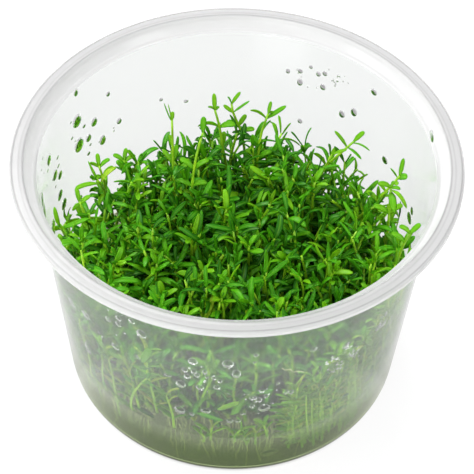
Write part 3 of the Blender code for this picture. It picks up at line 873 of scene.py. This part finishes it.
# Each stem is the places it passes through, in mm. Each of its leaves is the share of the way
# up, then how far its tip lies to the right, up and towards the viewer, its width and how far
# it bows upwards, in mm, and its roll in degrees.
SPRIGS = {
    "shoot_01": (
        ((-15.5, 20.5, 20.0), (-15.5, 20.5, 33.7), (-15.6, 21.2, 39.4), (-15.7, 22.2, 46.3),
         (-15.8, 23.2, 52.6)),
        ((1.00, 0.2, 2.0, 0.6, 1.0, 0.1, 0), (0.98, -1.9, 4.6, 0.4, 0.35, -0.4, 20),
         (0.98, -0.9, 4.3, 0.8, 0.3, 0.2, 0),
         (0.76, -0.8, 3.0, 0.4, 1.0, 0.0, 10), (0.62, 1.0, 4.2, 1.0, 1.4, 0.3, 0),
         (0.60, -2.6, 3.4, 0.5, 1.3, 0.6, 30),
         (0.48, 3.8, 3.2, 0.2, 1.4, 0.7, 0), (0.47, -4.0, 3.0, 1.0, 1.4, 0.9, 0))),
    "shoot_02": (
        ((-10.9, 13.4, 20.0), (-10.8, 13.6, 38.0), (-10.1, 15.0, 45.9), (-9.1, 16.2, 51.3),
         (-8.2, 17.0, 54.8)),
        ((1.00, 0.2, 3.7, 0.5, 1.45, 0.2, 0), (0.97, -0.9, -1.2, 0.4, 0.6, 0.5, 60),
         (0.97, 0.7, -0.4, 0.5, 0.5, 0.3, 50),
         (0.70, 3.6, 2.2, 0.0, 1.4, 0.7, 10), (0.70, -3.4, 2.4, 0.4, 1.4, 0.8, 0),
         (0.56, 3.6, 0.6, 1.6, 1.4, 0.8, 0), (0.56, -4.0, 1.4, -0.6, 1.4, 0.7, 0))),
    "shoot_03": (
        ((-3.0, 29.6, 20.0), (-3.1, 30.0, 33.4), (-3.7, 30.0, 36.9), (-4.6, 30.2, 44.1),
         (-5.8, 30.5, 49.4)),
        ((1.00, -0.2, 4.0, 0.6, 1.15, 0.0, 0), (1.00, -1.7, 0.6, 0.6, 0.6, 0.5, 40),
         (0.99, 0.9, 1.2, -1.6, 0.8, 0.2, 0),
         (0.81, -5.4, 0.1, 0.3, 1.0, 1.5, 50), (0.81, 3.9, 0.4, 1.0, 1.6, 0.6, 0),
         (0.60, 0.5, 3.4, 2.2, 1.4, 0.4, 0), (0.60, -1.6, 2.6, -2.4, 1.3, 0.6, 0))),
    "shoot_04": (
        ((1.8, 33.6, 20.0), (1.3, 34.0, 36.0), (0.3, 34.2, 40.3), (-1.4, 34.4, 45.1),
         (-1.8, 34.5, 47.8)),
        ((1.00, 2.2, 2.9, 0.5, 0.95, 0.1, 0), (1.00, -1.0, 1.6, 0.4, 0.5, 0.7, 40),
         (0.90, -2.4, 1.8, 0.5, 1.0, 0.0, 10),
         (0.90, 4.1, 2.8, 0.4, 0.95, 0.0, 30), (0.74, 1.9, 2.6, 1.4, 1.3, 0.2, 0),
         (0.72, -3.4, 1.2, 0.6, 1.4, 0.6, 0),
         (0.66, 3.4, 0.6, 0.8, 1.4, 0.5, 0))),
    "shoot_05": (
        ((5.0, 27.4, 20.0), (5.0, 28.0, 35.0), (5.2, 28.3, 37.6), (5.7, 29.0, 43.2), (7.2, 29.9, 49.2)),
        ((0.95, -4.0, 1.9, 0.4, 0.85, 1.0, 55), (0.95, 4.8, 3.0, 0.8, 1.20, 0.0, 0),
         (1.00, 0.7, 3.0, 0.5, 0.95, 0.0, 10),
         (1.00, 1.4, 0.5, -1.2, 0.6, 0.3, 0), (0.66, -1.9, 2.8, 0.2, 1.0, 0.3, 20),
         (0.66, 1.8, 1.2, 0.4, 0.5, 0.6, 60),
         (0.60, 0.6, 3.2, 2.0, 1.4, 0.4, 0), (0.52, -3.0, 2.2, 0.6, 1.4, 0.7, 0),
         (0.52, 3.6, 1.8, 0.6, 1.4, 0.7, 0))),
    "shoot_06": (
        ((19.0, 25.4, 20.0), (20.4, 25.8, 33.0), (23.8, 26.3, 37.7), (26.7, 26.8, 41.3),
         (28.4, 27.1, 43.3)),
        ((1.00, 2.6, 2.4, 0.4, 1.25, 0.2, 0), (0.98, 4.2, -2.0, 0.6, 0.75, 0.6, 30),
         (0.91, -3.1, 4.0, 0.4, 0.9, 0.5, 35),
         (0.91, 3.4, -3.0, 1.0, 0.95, 0.4, 25), (0.66, 1.6, 4.0, 0.4, 1.2, 0.2, 0),
         (0.62, -3.2, 3.0, 0.4, 1.0, 1.2, 40),
         (0.56, -3.6, 0.4, 1.4, 1.4, 0.6, 0), (0.56, 3.6, 0.2, 0.6, 1.4, 0.7, 0))),
    "shoot_07": (
        ((33.0, 12.6, 20.0), (34.0, 13.0, 36.5), (35.2, 13.2, 39.5), (37.6, 13.4, 43.6),
         (38.6, 13.6, 45.6)),
        ((1.00, 0.9, 4.2, 0.5, 1.1, 0.0, 0), (0.97, -1.8, 2.4, 0.3, 0.55, 0.3, 50),
         (0.97, 2.2, 0.2, 1.0, 1.7, 0.3, 0),
         (0.90, 0.6, -0.6, 2.4, 1.3, 0.5, 0), (0.78, -1.6, 1.9, 0.3, 0.8, 0.4, 30),
         (0.70, 3.6, -0.6, 0.6, 0.9, 0.9, 20),
         (0.64, -2.8, 2.6, 0.4, 1.3, 0.5, 0), (0.62, 2.2, 2.6, 0.4, 1.3, 0.5, 0))),
    "shoot_08": (
        ((36.2, 5.4, 20.0), (36.5, 5.8, 35.0), (36.2, 6.6, 41.9), (36.0, 7.6, 47.8)),
        ((0.99, 2.2, -0.2, 0.2, 0.9, 0.5, 0), (0.97, 3.6, -4.2, 1.0, 1.0, 1.4, 10),
         (0.95, 0.6, -4.6, 1.6, 1.8, 0.6, 0),
         (1.00, -3.2, 0.8, 0.8, 1.3, 0.6, 0), (1.00, 0.6, 1.6, 0.4, 0.8, 0.0, 0),
         (0.72, -3.8, 1.8, 0.6, 1.4, 0.8, 0), (0.72, 3.2, 2.0, 0.6, 1.4, 0.7, 0))),
    "shoot_09": (
        ((38.0, -4.6, 20.0), (38.6, -4.6, 40.0), (39.4, -4.5, 43.6), (40.0, -4.4, 45.4)),
        ((1.00, 2.4, 2.2, 0.3, 1.3, 0.2, 0), (1.00, -2.6, 1.6, 0.6, 1.2, 0.6, 0),
         (0.88, -3.2, 2.0, 0.4, 1.4, 0.6, 0),
         (0.88, 1.6, 2.8, 0.4, 1.3, 0.3, 0))),
    "shoot_10": (
        ((-32.0, 19.4, 20.0), (-32.7, 20.0, 33.9), (-33.1, 20.3, 36.1), (-33.7, 20.6, 39.0)),
        ((1.00, -0.4, 3.0, 0.4, 1.1, 0.2, 0), (0.97, 2.6, 2.0, 0.6, 1.1, 0.5, 0),
         (0.97, -2.4, 1.0, 0.4, 0.9, 0.5, 30),
         (0.80, 2.8, 2.6, 0.6, 1.4, 0.6, 0), (0.80, -2.6, -0.6, 0.6, 1.3, 0.6, 0))),
    "shoot_11": (
        ((-35.4, 6.6, 20.0), (-35.9, 7.0, 34.6), (-36.3, 7.3, 36.7), (-37.3, 8.0, 39.6)),
        ((1.00, -0.6, 3.2, 0.4, 1.1, 0.2, 0), (0.96, 2.4, 1.8, 0.8, 1.2, 0.5, 0),
         (0.96, -1.8, -1.6, 0.6, 1.0, 0.6, 30),
         (0.78, 2.8, 1.0, 0.6, 1.4, 0.6, 0), (0.78, -1.6, 2.8, 0.6, 1.3, 0.3, 0))),
    "shoot_12": (
        ((-26.8, 23.6, 20.0), (-27.4, 24.0, 31.4), (-27.6, 24.4, 33.8), (-28.0, 25.0, 36.7)),
        ((1.00, 0.6, 3.0, 0.4, 1.1, 0.2, 0), (0.96, -2.8, 1.8, 0.6, 1.2, 0.6, 0),
         (0.96, 2.8, 1.6, 0.6, 1.2, 0.6, 0),
         (0.80, -2.4, 2.6, 0.6, 1.4, 0.4, 0), (0.80, 3.2, -0.4, 0.6, 1.3, 0.6, 0))),
}


def smooth_line(places, steps):
    """A smooth line through a few given places, at even shares of its length."""
    places = np.asarray(places, float)
    gaps = np.linalg.norm(np.diff(places, axis=0), axis=1)
    knots = np.concatenate([[0.0], np.cumsum(gaps)])
    slopes = np.gradient(places, knots, axis=0)
    share = np.linspace(0.0, knots[-1], steps)
    low = np.clip(np.searchsorted(knots, share, side="right") - 1, 0, len(knots) - 2)
    span = (knots[low + 1] - knots[low])[:, None]
    t = (share - knots[low])[:, None] / span
    return ((2 * t ** 3 - 3 * t ** 2 + 1) * places[low] + (t ** 3 - 2 * t ** 2 + t) * span * slopes[low]
            + (-2 * t ** 3 + 3 * t ** 2) * places[low + 1] + (t ** 3 - t ** 2) * span * slopes[low + 1])


def placed_leaf(base, right, up, toward, width, bow, roll):
    """One leaf from its stem to a tip given in the picture's own directions."""
    reach = np.array(picture_right) * right - np.array(picture_down) * up - np.array(sight) * toward
    t = FINE_LEAF.along[:, None]
    line = base + (reach * t + np.array((0.0, 0.0, 4.0 * bow)) * t * (1.0 - t)) * MM
    along = np.gradient(line, axis=0)
    along /= np.linalg.norm(along, axis=1, keepdims=True)
    facing = np.array((0.0, -0.45, 1.0)) - 0.6 * reach / np.linalg.norm(reach)
    across = np.cross(along, facing)
    across /= np.linalg.norm(across, axis=1, keepdims=True)
    face = np.cross(across, along)
    turn = math.radians(roll)
    across, face = (across * math.cos(turn) + face * math.sin(turn),
                    face * math.cos(turn) - across * math.sin(turn))
    return blades(FINE_LEAF, line[None], across[None], face[None], np.array([width * MM]), np.array([0.25]))


def crowd_leaves(path, length):
    """The leaves of a plain shoot, pair by pair from its tip down."""
    turn = leaf_dice.uniform(0.0, math.pi)
    batches = []
    for pair, (drop, size, rise) in enumerate(CROWD_PAIRS):
        batches.append(leaf_pair(
            FINE_LEAF, path, np.array([1.0 - drop / length]), np.array([turn + math.pi / 2.0 * pair]),
            np.array([size]), np.array([CROWD_LEAF_WIDTH]), math.radians(rise), CROWD_DROOP, leaf_dice))
    return np.concatenate(batches)


shoot_names = sorted(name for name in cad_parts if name.startswith("shoot_"))
for name in shoot_names:
    if name in SPRIGS:
        places, leaf_list = SPRIGS[name]
        path = smooth_line(np.array(places) * MM, STEM_STEPS)[None]
        points = np.concatenate([
            placed_leaf(at_height(path, np.array([share]))[0][0], *rest) for share, *rest in leaf_list])
    else:
        low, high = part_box(name)
        middle = (low + high) / 2.0
        foot = np.array([[middle.x, middle.y, low.z - SHOOT_FOOT_DEPTH]])
        tip = np.array([[middle.x, middle.y, high.z - SHOOT_TIP_DROP]])
        path = grow_stems(foot, tip, leaf_dice.normal(0.0, 0.0006, (1, 3)), leaf_dice)
        points = crowd_leaves(path, tip[0, 2] - foot[0, 2])
    mesh = leaf_mesh(f"{name}_leaves", FINE_LEAF, hold_inside(points),
                     np.clip(leaf_dice.normal(*SHOOT_TONES, len(points)), *SHOOT_TONE_LIMITS))
    shoot = link_object(f"{name}_leaves", mesh)
    shoot.data.materials.append(leaf_material)
    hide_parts(name)
    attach(shoot, "root")
    quads, caps = tube_faces(1, STEM_STEPS, STEM_SIDES)
    radii = STEM_R * (1.1 - 0.4 * share_up)[None, :]
    stalk = link_object(f"{name}_stem", joined_mesh(
        f"{name}_stem", hold_inside(tube_rings(path, radii, STEM_SIDES)), quads, caps))
    stalk.data.materials.append(stem_material)
    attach(stalk, "root")

# Shoots against the wall
# A few plantlets on the left and a dense row on the right grew along the inside of the cup.
# They stand from the edge of the gel, between the cushion and the clear wall. The places
# along them are pixels of the picture, right and down.
LEFT_WALL_SHOOTS = (
    ((119, 416), (114, 392), (109, 366), (104, 350)),
    ((156, 414), (151, 392), (146, 372), (146, 352)),
    ((101, 398), (94, 374), (86, 346)),
    ((138, 410), (133, 390), (128, 372)),
    ((173, 430), (171, 414), (165, 397)),
    ((90, 384), (83, 362), (78, 340)),
)
RIGHT_WALL_COUNT = 90
RIGHT_WALL_REACH = (288, 393)
GEL_LINE_MIDDLE = (233, 310)
GEL_LINE_HALF = (167, 130)
FRONT_WALL_COUNT = 9
FRONT_WALL_REACH = (196, 300)
WALL_SHOOT_INSET = 0.0011
LOWEST_FOOT = 0.0035
ROW_FEET = (-4.0, 22.0)
ROW_RISE = (14.0, 38.0)
FRONT_FEET = (-4.0, 8.0)
FRONT_RISE = (6.0, 22.0)
WALL_TILT = (-6.0, 8.0)
WALL_BOW = (-3.0, 3.0)
WALL_INSETS = (0.0005, 0.0014)
LEFT_LEAF_LENGTH = 0.0050
WALL_LEAF_LENGTHS = (0.0036, 0.0052)
WALL_LEAF_WIDTH = 0.0015
WALL_PAIR_GAP = 0.62
WALL_LEAF_FOLD = 0.3
# Painted light: the leaves along the wall are coloured brighter for the light that comes in through the
# wall.
WALL_TONES_WITH_PAINTED_LIGHT = (0.73, 0.08)
WALL_TONE_LIMITS = (0.50, 0.84)
WALL_STEM_R = 0.00036
PICTURE_MIDDLE = PICTURE_WIDTH / 2.0


def on_wall(right, down, behind=False):
    """The point of the inner wall that shows at a place of the picture, on its near or far side."""
    ray = (np.array(sight) * FOCAL_PIXELS + np.array(picture_right) * (right - PICTURE_MIDDLE)
           + np.array(picture_down) * (down - PICTURE_MIDDLE))
    ray /= np.linalg.norm(ray)
    eye = np.array(CAMERA_PLACE)
    foot_r = wall_inside(0.0)
    flare = (wall_inside(CUP_TOP) - foot_r) / CUP_TOP
    reach = foot_r + flare * eye[2]
    a = ray[0] ** 2 + ray[1] ** 2 - (flare * ray[2]) ** 2
    b = eye[0] * ray[0] + eye[1] * ray[1] - reach * flare * ray[2]
    c = eye[0] ** 2 + eye[1] ** 2 - reach ** 2
    root = math.sqrt(max(b * b - a * c, 0.0))
    near, far = sorted(((-b - root) / a, (-b + root) / a))
    return eye + ray * (far if behind else near)


def gel_line(right):
    """Where the edge of the gel shows on the near wall, in pixels down the picture."""
    across = (right - GEL_LINE_MIDDLE[0]) / GEL_LINE_HALF[0]
    return GEL_LINE_MIDDLE[1] + GEL_LINE_HALF[1] * math.sqrt(max(1.0 - across ** 2, 0.0))


def wall_stem(places, inset):
    """A stem through places of the picture, a little inside the wall."""
    points = np.array([on_wall(*place) for place in places])
    points[:, 2] = np.maximum(points[:, 2], LOWEST_FOOT)
    reach = np.hypot(points[:, 0], points[:, 1])
    points[:, :2] *= ((wall_inside(points[:, 2]) - inset) / reach)[:, None]
    return smooth_line(points, STEM_STEPS)


wall_paths = [wall_stem(places, WALL_SHOOT_INSET) for places in LEFT_WALL_SHOOTS]
wall_sizes = [LEFT_LEAF_LENGTH] * len(wall_paths)
for k in range(RIGHT_WALL_COUNT + FRONT_WALL_COUNT):
    in_row = k < RIGHT_WALL_COUNT
    right = leaf_dice.uniform(*(RIGHT_WALL_REACH if in_row else FRONT_WALL_REACH))
    down = gel_line(right) + leaf_dice.uniform(*(ROW_FEET if in_row else FRONT_FEET))
    rise = leaf_dice.uniform(*(ROW_RISE if in_row else FRONT_RISE))
    if in_row:
        rise *= 1.0 + (right - RIGHT_WALL_REACH[0]) / (RIGHT_WALL_REACH[1] - RIGHT_WALL_REACH[0])
    tilt = leaf_dice.uniform(*WALL_TILT)
    bow = leaf_dice.uniform(*WALL_BOW)
    wall_paths.append(wall_stem(
        ((right, down), (right + tilt * 0.4 + bow, down - rise * 0.5), (right + tilt, down - rise)),
        leaf_dice.uniform(*WALL_INSETS)))
    wall_sizes.append(leaf_dice.uniform(*WALL_LEAF_LENGTHS))

wall_leaf_points = []
for path, size in zip(wall_paths, wall_sizes):
    length = np.linalg.norm(np.diff(path, axis=0), axis=1).sum()
    pairs = max(2, int(length / (WALL_PAIR_GAP * size)))
    for pair in range(pairs):
        base, axis = at_height(path[None], np.array([1.0 - (0.02 + pair * WALL_PAIR_GAP * size / length)]))
        angle = math.atan2(base[0, 1], base[0, 0])
        tangent = np.array([[-math.sin(angle), math.cos(angle), 0.0]])
        inward = np.array([[-math.cos(angle), -math.sin(angle), 0.0]])
        rise = math.radians(72 - 12 * min(pair, 3))
        for sign in (1.0, -1.0):
            outward = tangent * sign + inward * leaf_dice.uniform(-0.1, 0.5)
            outward -= axis * np.sum(outward * axis)
            outward /= np.linalg.norm(outward)
            wall_leaf_points.append(curved_leaves(
                FINE_LEAF, base, axis, outward, np.array([size * leaf_dice.uniform(0.75, 1.15)]),
                np.array([WALL_LEAF_WIDTH * leaf_dice.uniform(0.75, 1.1)]),
                np.array([rise + leaf_dice.normal(0.0, 0.2)]), np.array([leaf_dice.uniform(0.3, 1.1)]),
                np.array([WALL_LEAF_FOLD]), np.array([leaf_dice.normal(0.0, 0.2)]),
                np.array([sign * leaf_dice.uniform(0.3, 1.1)])))
wall_leaf_points = hold_inside(np.concatenate(wall_leaf_points))
# The wall shoots' leaves take a bright tone: painted light from the wall.
wall_tone_with_painted_light = np.clip(leaf_dice.normal(*WALL_TONES_WITH_PAINTED_LIGHT, len(wall_leaf_points)), *WALL_TONE_LIMITS)
wall_leaves = link_object("wall_shoot_leaves", leaf_mesh(
    "wall_shoot_leaves", FINE_LEAF, wall_leaf_points, wall_tone_with_painted_light))
wall_leaves.data.materials.append(leaf_material)
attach(wall_leaves, "root")
wall_radii = np.broadcast_to(WALL_STEM_R * (1.1 - 0.4 * share_up), (len(wall_paths), STEM_STEPS))
quads, caps = tube_faces(len(wall_paths), STEM_STEPS, STEM_SIDES)
wall_stems = link_object("wall_shoot_stems", joined_mesh(
    "wall_shoot_stems", hold_inside(tube_rings(np.array(wall_paths), wall_radii, STEM_SIDES)), quads, caps))
wall_stems.data.materials.append(stem_material)
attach(wall_stems, "root")

# Loose leaves and a stray root lie flat on the inside of the wall, each from one place of the
# picture to another, with its width in mm and its tone.
LOOSE_LEAVES = (
    ((218, 410), (239, 402), 1.7, 0.74),
    ((281, 403), (303, 401), 1.5, 0.70),
    ((196, 413), (223, 421), 1.6, 0.50),
    ((142, 362), (150, 348), 1.9, 0.62),
    ((372, 343), (366, 339), 1.6, 0.72),
)
STRAY_ROOT = ((282, 367.5), (286, 369.5), (290, 368.5), (293, 371.5), (298, 370.5), (304, 371.5))
STRAY_ROOT_R = 0.00013
LOOSE_INSET = 0.0005
loose_points = []
for start, end, width, tone in LOOSE_LEAVES:
    line = np.array([on_wall(start[0] + (end[0] - start[0]) * t, start[1] + (end[1] - start[1]) * t)
                     for t in FINE_LEAF.along])
    inward = -line * (1.0, 1.0, 0.0)
    inward /= np.linalg.norm(inward, axis=1, keepdims=True)
    line = line + inward * LOOSE_INSET
    along = np.gradient(line, axis=0)
    along /= np.linalg.norm(along, axis=1, keepdims=True)
    across = np.cross(along, -inward)
    loose_points.append(blades(
        FINE_LEAF, line[None], across[None], -inward[None], np.array([width * MM]), np.array([0.1])))
loose_tones = [tone for start, end, width, tone in LOOSE_LEAVES]
loose_leaves = link_object("loose_leaves", leaf_mesh(
    "loose_leaves", FINE_LEAF, hold_inside(np.concatenate(loose_points)), loose_tones))
loose_leaves.data.materials.append(leaf_material)
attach(loose_leaves, "root")
stray_path = wall_stem(STRAY_ROOT, STRAY_ROOT_R * 2.0)[None]
quads, caps = tube_faces(1, STEM_STEPS, ROOT_SIDES)
stray_root = link_object("stray_root", joined_mesh(
    "stray_root", tube_rings(stray_path, np.full((1, STEM_STEPS), STRAY_ROOT_R), ROOT_SIDES), quads, caps))
stray_root.data.materials.append(roots.data.materials[0])
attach(stray_root, "root")

# Condensation
# Water from the plants that has gathered on the inside of the clear wall and stays there as
# low round beads. Those in front carry a white ring painted round their edge, a painted
# highlight, and a grey-green tint painted into them as painted shade; those behind look dark
# green from the plants, with a grey painted-shade tint and a faint painted ring. Those in
# front bend light less than real water, to stay clear in the middle.
DROP_RISE = 0.42
DROP_SIDES = 20
DROP_GAP = 0.00003
MIST_SIZE = (0.5, 1.2)
# Painted highlight: how white the tiny beads are painted.
MIST_PAINTED_HIGHLIGHT = 0.8
LEAST_FACING = 0.35
DROP_STEPS = (0.0, 0.07, 0.26, 0.42, 0.60, 0.80, 0.97)
# Painted highlight: how strongly each ring of a bead, from the wall out, is painted white.
DROP_PAINTED_HIGHLIGHT = (0.0, 1.0, 1.0, 0.2, 0.0, 0.0, 0.0)
# Each bead: its place in the picture, right and down in pixels, its half width and half height in pixels.
FRONT_BEADS = (
    (73.5, 302, 4, 4), (87, 314, 4, 4), (71, 318, 2.5, 3), (109, 318, 3, 3), (119, 317, 3, 3),
    (119, 323, 3, 3),
    (132, 320, 3, 3), (142, 333, 5, 5), (116, 345.5, 3.5, 3.5), (138.5, 356, 2, 2), (89, 347, 3, 6),
    (193, 360.5, 5, 4), (185, 369, 3, 3), (194, 370.5, 3, 3), (187.5, 375.5, 3.5, 3), (197, 374, 3, 3),
    (205, 371, 2.5, 3), (207, 376, 2, 2), (214, 377, 2.5, 2.5), (220, 380, 2.5, 2.5), (181, 383, 5, 4.5),
    (200, 386.5, 4, 3.5), (217, 386.5, 3.5, 3), (228, 363, 6, 5), (236.5, 373, 4.5, 5.5),
    (180, 409, 5.5, 5),
    (192, 413, 2.5, 2.5), (206, 410, 5, 3), (230, 420, 3.5, 3), (238, 420, 3, 2.5), (313.5, 348, 3.5, 3),
    (345, 344, 4, 3.5), (262, 390, 3, 2.5), (253, 397, 4, 3), (259, 399, 3, 3), (266, 395, 2.5, 2.5),
    (286, 391, 2.5, 3), (291, 391, 2.5, 3), (264, 407, 6, 4.5), (252, 405, 3, 2.5), (256, 354, 2.5, 2),
    (255, 361, 2, 1.5), (278, 382, 2, 2), (168, 374, 4, 2), (243, 413, 3, 1.5), (377, 326, 3, 4),
    (382, 323, 3, 3),
    (269, 452, 9, 4.5))
BACK_BEADS = (
    (77, 121, 4, 5), (94, 122, 3, 3.5), (84, 126, 1.5, 1.5), (119, 121, 2.5, 2.5), (79, 145, 4, 5.5),
    (88.5, 138, 2.5, 3), (102.5, 140, 3, 4), (108, 94, 2, 2), (76, 92.5, 2, 3), (88.5, 153.5, 1.5, 1.5),
    (161, 99.5, 2, 1.5), (186, 101, 2.5, 1.5), (49, 159.5, 2.5, 4), (55, 175, 2.5, 3.5), (60, 175, 2, 3),
    (60, 195, 2.5, 3.5), (64, 204, 2.5, 4), (44, 212, 4, 6), (53, 229, 4, 6), (42, 199, 3, 5),
    (288, 71, 2.5, 2), (300.5, 71, 2.5, 2), (300, 82, 3, 3), (311, 67, 2, 1.5), (318.5, 74, 2.5, 2),
    (325, 73.5, 2.5, 2), (323, 87, 3, 2.5), (374, 92, 3, 2.5), (342, 114, 3, 3), (354, 112, 3, 3.5),
    (300, 121, 2.5, 2), (385, 160, 2.5, 3), (432, 136, 2.5, 4), (409.5, 218, 2.5, 4), (412, 211, 1.5, 3))
# Where many tiny beads lie close together: middle, half width and half height in pixels, and how many.
FRONT_MIST = (
    (351, 350, 9, 7, 34), (334, 363, 9, 8, 34), (385, 318, 6, 9, 14), (212, 379, 40, 16, 12),
    (262, 400, 26, 14, 14), (120, 322, 40, 16, 10))
BACK_MIST = ((340, 81, 10, 6, 12), (50, 172, 10, 22, 12), (320, 78, 34, 12, 10), (90, 138, 26, 26, 8))
# Each side's water: a tint painted in as painted shade, the strength of its painted highlight ring, and how
# far it bends light; then the white of the painted highlight.
FRONT_PAINTED_SHADE_TINT = (0.52, 0.62, 0.50, 1.0)
FRONT_PAINTED_HIGHLIGHT = 0.95
FRONT_BEND = 1.10
BACK_PAINTED_SHADE_TINT = (0.52, 0.49, 0.52, 1.0)
BACK_PAINTED_HIGHLIGHT = 0.15
BACK_BEND = 1.33
PAINTED_HIGHLIGHT_WHITE = (0.95, 0.95, 0.95, 1.0)
WATER_BLUR = (0.0, 0.06)
bead_dice = np.random.default_rng(8)


def wall_beads(name, beads, mist, behind):
    """One mesh of closed caps of water that follow the wall."""
    listed = list(beads)
    for x, y, wide, tall, count in mist:
        for k in range(count):
            r, a = math.sqrt(bead_dice.random()), bead_dice.uniform(0.0, 2.0 * math.pi)
            size = bead_dice.uniform(*MIST_SIZE)
            listed.append((x + wide * r * math.cos(a), y + tall * r * math.sin(a), size, size))
    points, quads, triangles, edge = [], [], [], []
    turn = 2.0 * math.pi * np.arange(DROP_SIDES) / DROP_SIDES
    side = np.arange(DROP_SIDES)
    after = (side + 1) % DROP_SIDES
    for x, y, wide, tall in listed:
        middle = on_wall(x, y, behind)
        angle = math.atan2(middle[1], middle[0])
        round_it = np.array((-math.sin(angle), math.cos(angle), 0.0))
        up = np.array((0.0, 0.0, 1.0))
        pixel = float(np.dot(middle - np.array(CAMERA_PLACE), np.array(sight))) / FOCAL_PIXELS
        half_wide = wide * pixel / max(abs(float(np.dot(round_it, np.array(picture_right)))), LEAST_FACING)
        half_tall = tall * pixel / abs(float(np.dot(up, np.array(picture_down))))
        start = len(points)
        tiny = wide < MIST_SIZE[1]
        for k, t in enumerate(DROP_STEPS):
            spread = (round_it[None] * (np.cos(turn) * half_wide)[:, None]
                      + up[None] * (np.sin(turn) * half_tall)[:, None]) * math.cos(t * math.pi / 2.0)
            ring = middle[None] + spread
            lift = DROP_GAP + DROP_RISE * min(wide, tall) * pixel * math.sin(t * math.pi / 2.0)
            reach = np.hypot(ring[:, 0], ring[:, 1])
            ring[:, :2] *= ((wall_inside(ring[:, 2]) - lift) / reach)[:, None]
            points.extend(ring)
            # The edge value says how strongly this ring is painted white as a highlight.
            edge.extend([MIST_PAINTED_HIGHLIGHT if tiny else DROP_PAINTED_HIGHLIGHT[k]] * DROP_SIDES)
            if k:
                low = start + (k - 1) * DROP_SIDES
                high = low + DROP_SIDES
                quads.append(np.stack([low + side, low + after, high + after, high + side], 1))
        back = np.mean(np.array(points[start:start + DROP_SIDES]), axis=0)
        top = np.mean(np.array(points[-DROP_SIDES:]), axis=0)
        back[:2] *= (wall_inside(back[2]) - DROP_GAP) / math.hypot(back[0], back[1])
        last = len(points) - DROP_SIDES
        points.extend([back, top])
        edge.extend([0.0, 0.0])
        triangles.append(np.stack([np.full(DROP_SIDES, len(points) - 2), start + after, start + side], 1))
        triangles.append(np.stack([np.full(DROP_SIDES, len(points) - 1), last + side, last + after], 1))
    mesh = joined_mesh(name, np.array(points), np.concatenate(quads), np.concatenate(triangles))
    mesh.attributes.new("edge", "FLOAT", "POINT").data.foreach_set("value", np.array(edge, np.float32))
    return link_object(name, mesh)


def bead_water(name, tint, ring, bend):
    """Still water, tinted darker as painted shade, with a white ring painted as a highlight where its steep
    edge meets the wall.
    """
    material, nodes, links = new_material(name)
    shader = nodes["Principled BSDF"]
    shader.inputs["IOR"].default_value = bend
    # Where the edge value is high the water is less clear and painted white: a painted highlight.
    clear_middle = graded(nodes, links, attribute_value(nodes, "edge"), 0.0, 1.0, 1.0, 1.0 - ring)
    links.new(clear_middle, shader.inputs["Transmission Weight"])
    # The water is tinted darker as painted shade and turns painted-highlight white towards its edge.
    tone = nodes.new("ShaderNodeMix")
    tone.data_type = "RGBA"
    tone.inputs["A"].default_value = tint
    tone.inputs["B"].default_value = PAINTED_HIGHLIGHT_WHITE
    links.new(attribute_value(nodes, "edge"), tone.inputs["Factor"])
    links.new(tone.outputs["Result"], shader.inputs["Base Color"])
    blur = graded(nodes, links, speckle(nodes, links, 500.0), 0.0, 1.0, *WATER_BLUR)
    links.new(blur, shader.inputs["Roughness"])
    lets_lamps_through(nodes, links, shader)
    return material


for name, beads, mist, behind, tint, ring, bend in (
        ("beads_in_front", FRONT_BEADS, FRONT_MIST, False, FRONT_PAINTED_SHADE_TINT, FRONT_PAINTED_HIGHLIGHT, FRONT_BEND),
        ("beads_behind", BACK_BEADS, BACK_MIST, True, BACK_PAINTED_SHADE_TINT, BACK_PAINTED_HIGHLIGHT, BACK_BEND)):
    water = wall_beads(name, beads, mist, behind)
    water.data.materials.append(bead_water(name, tint, ring, bend))
    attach(water, "root")
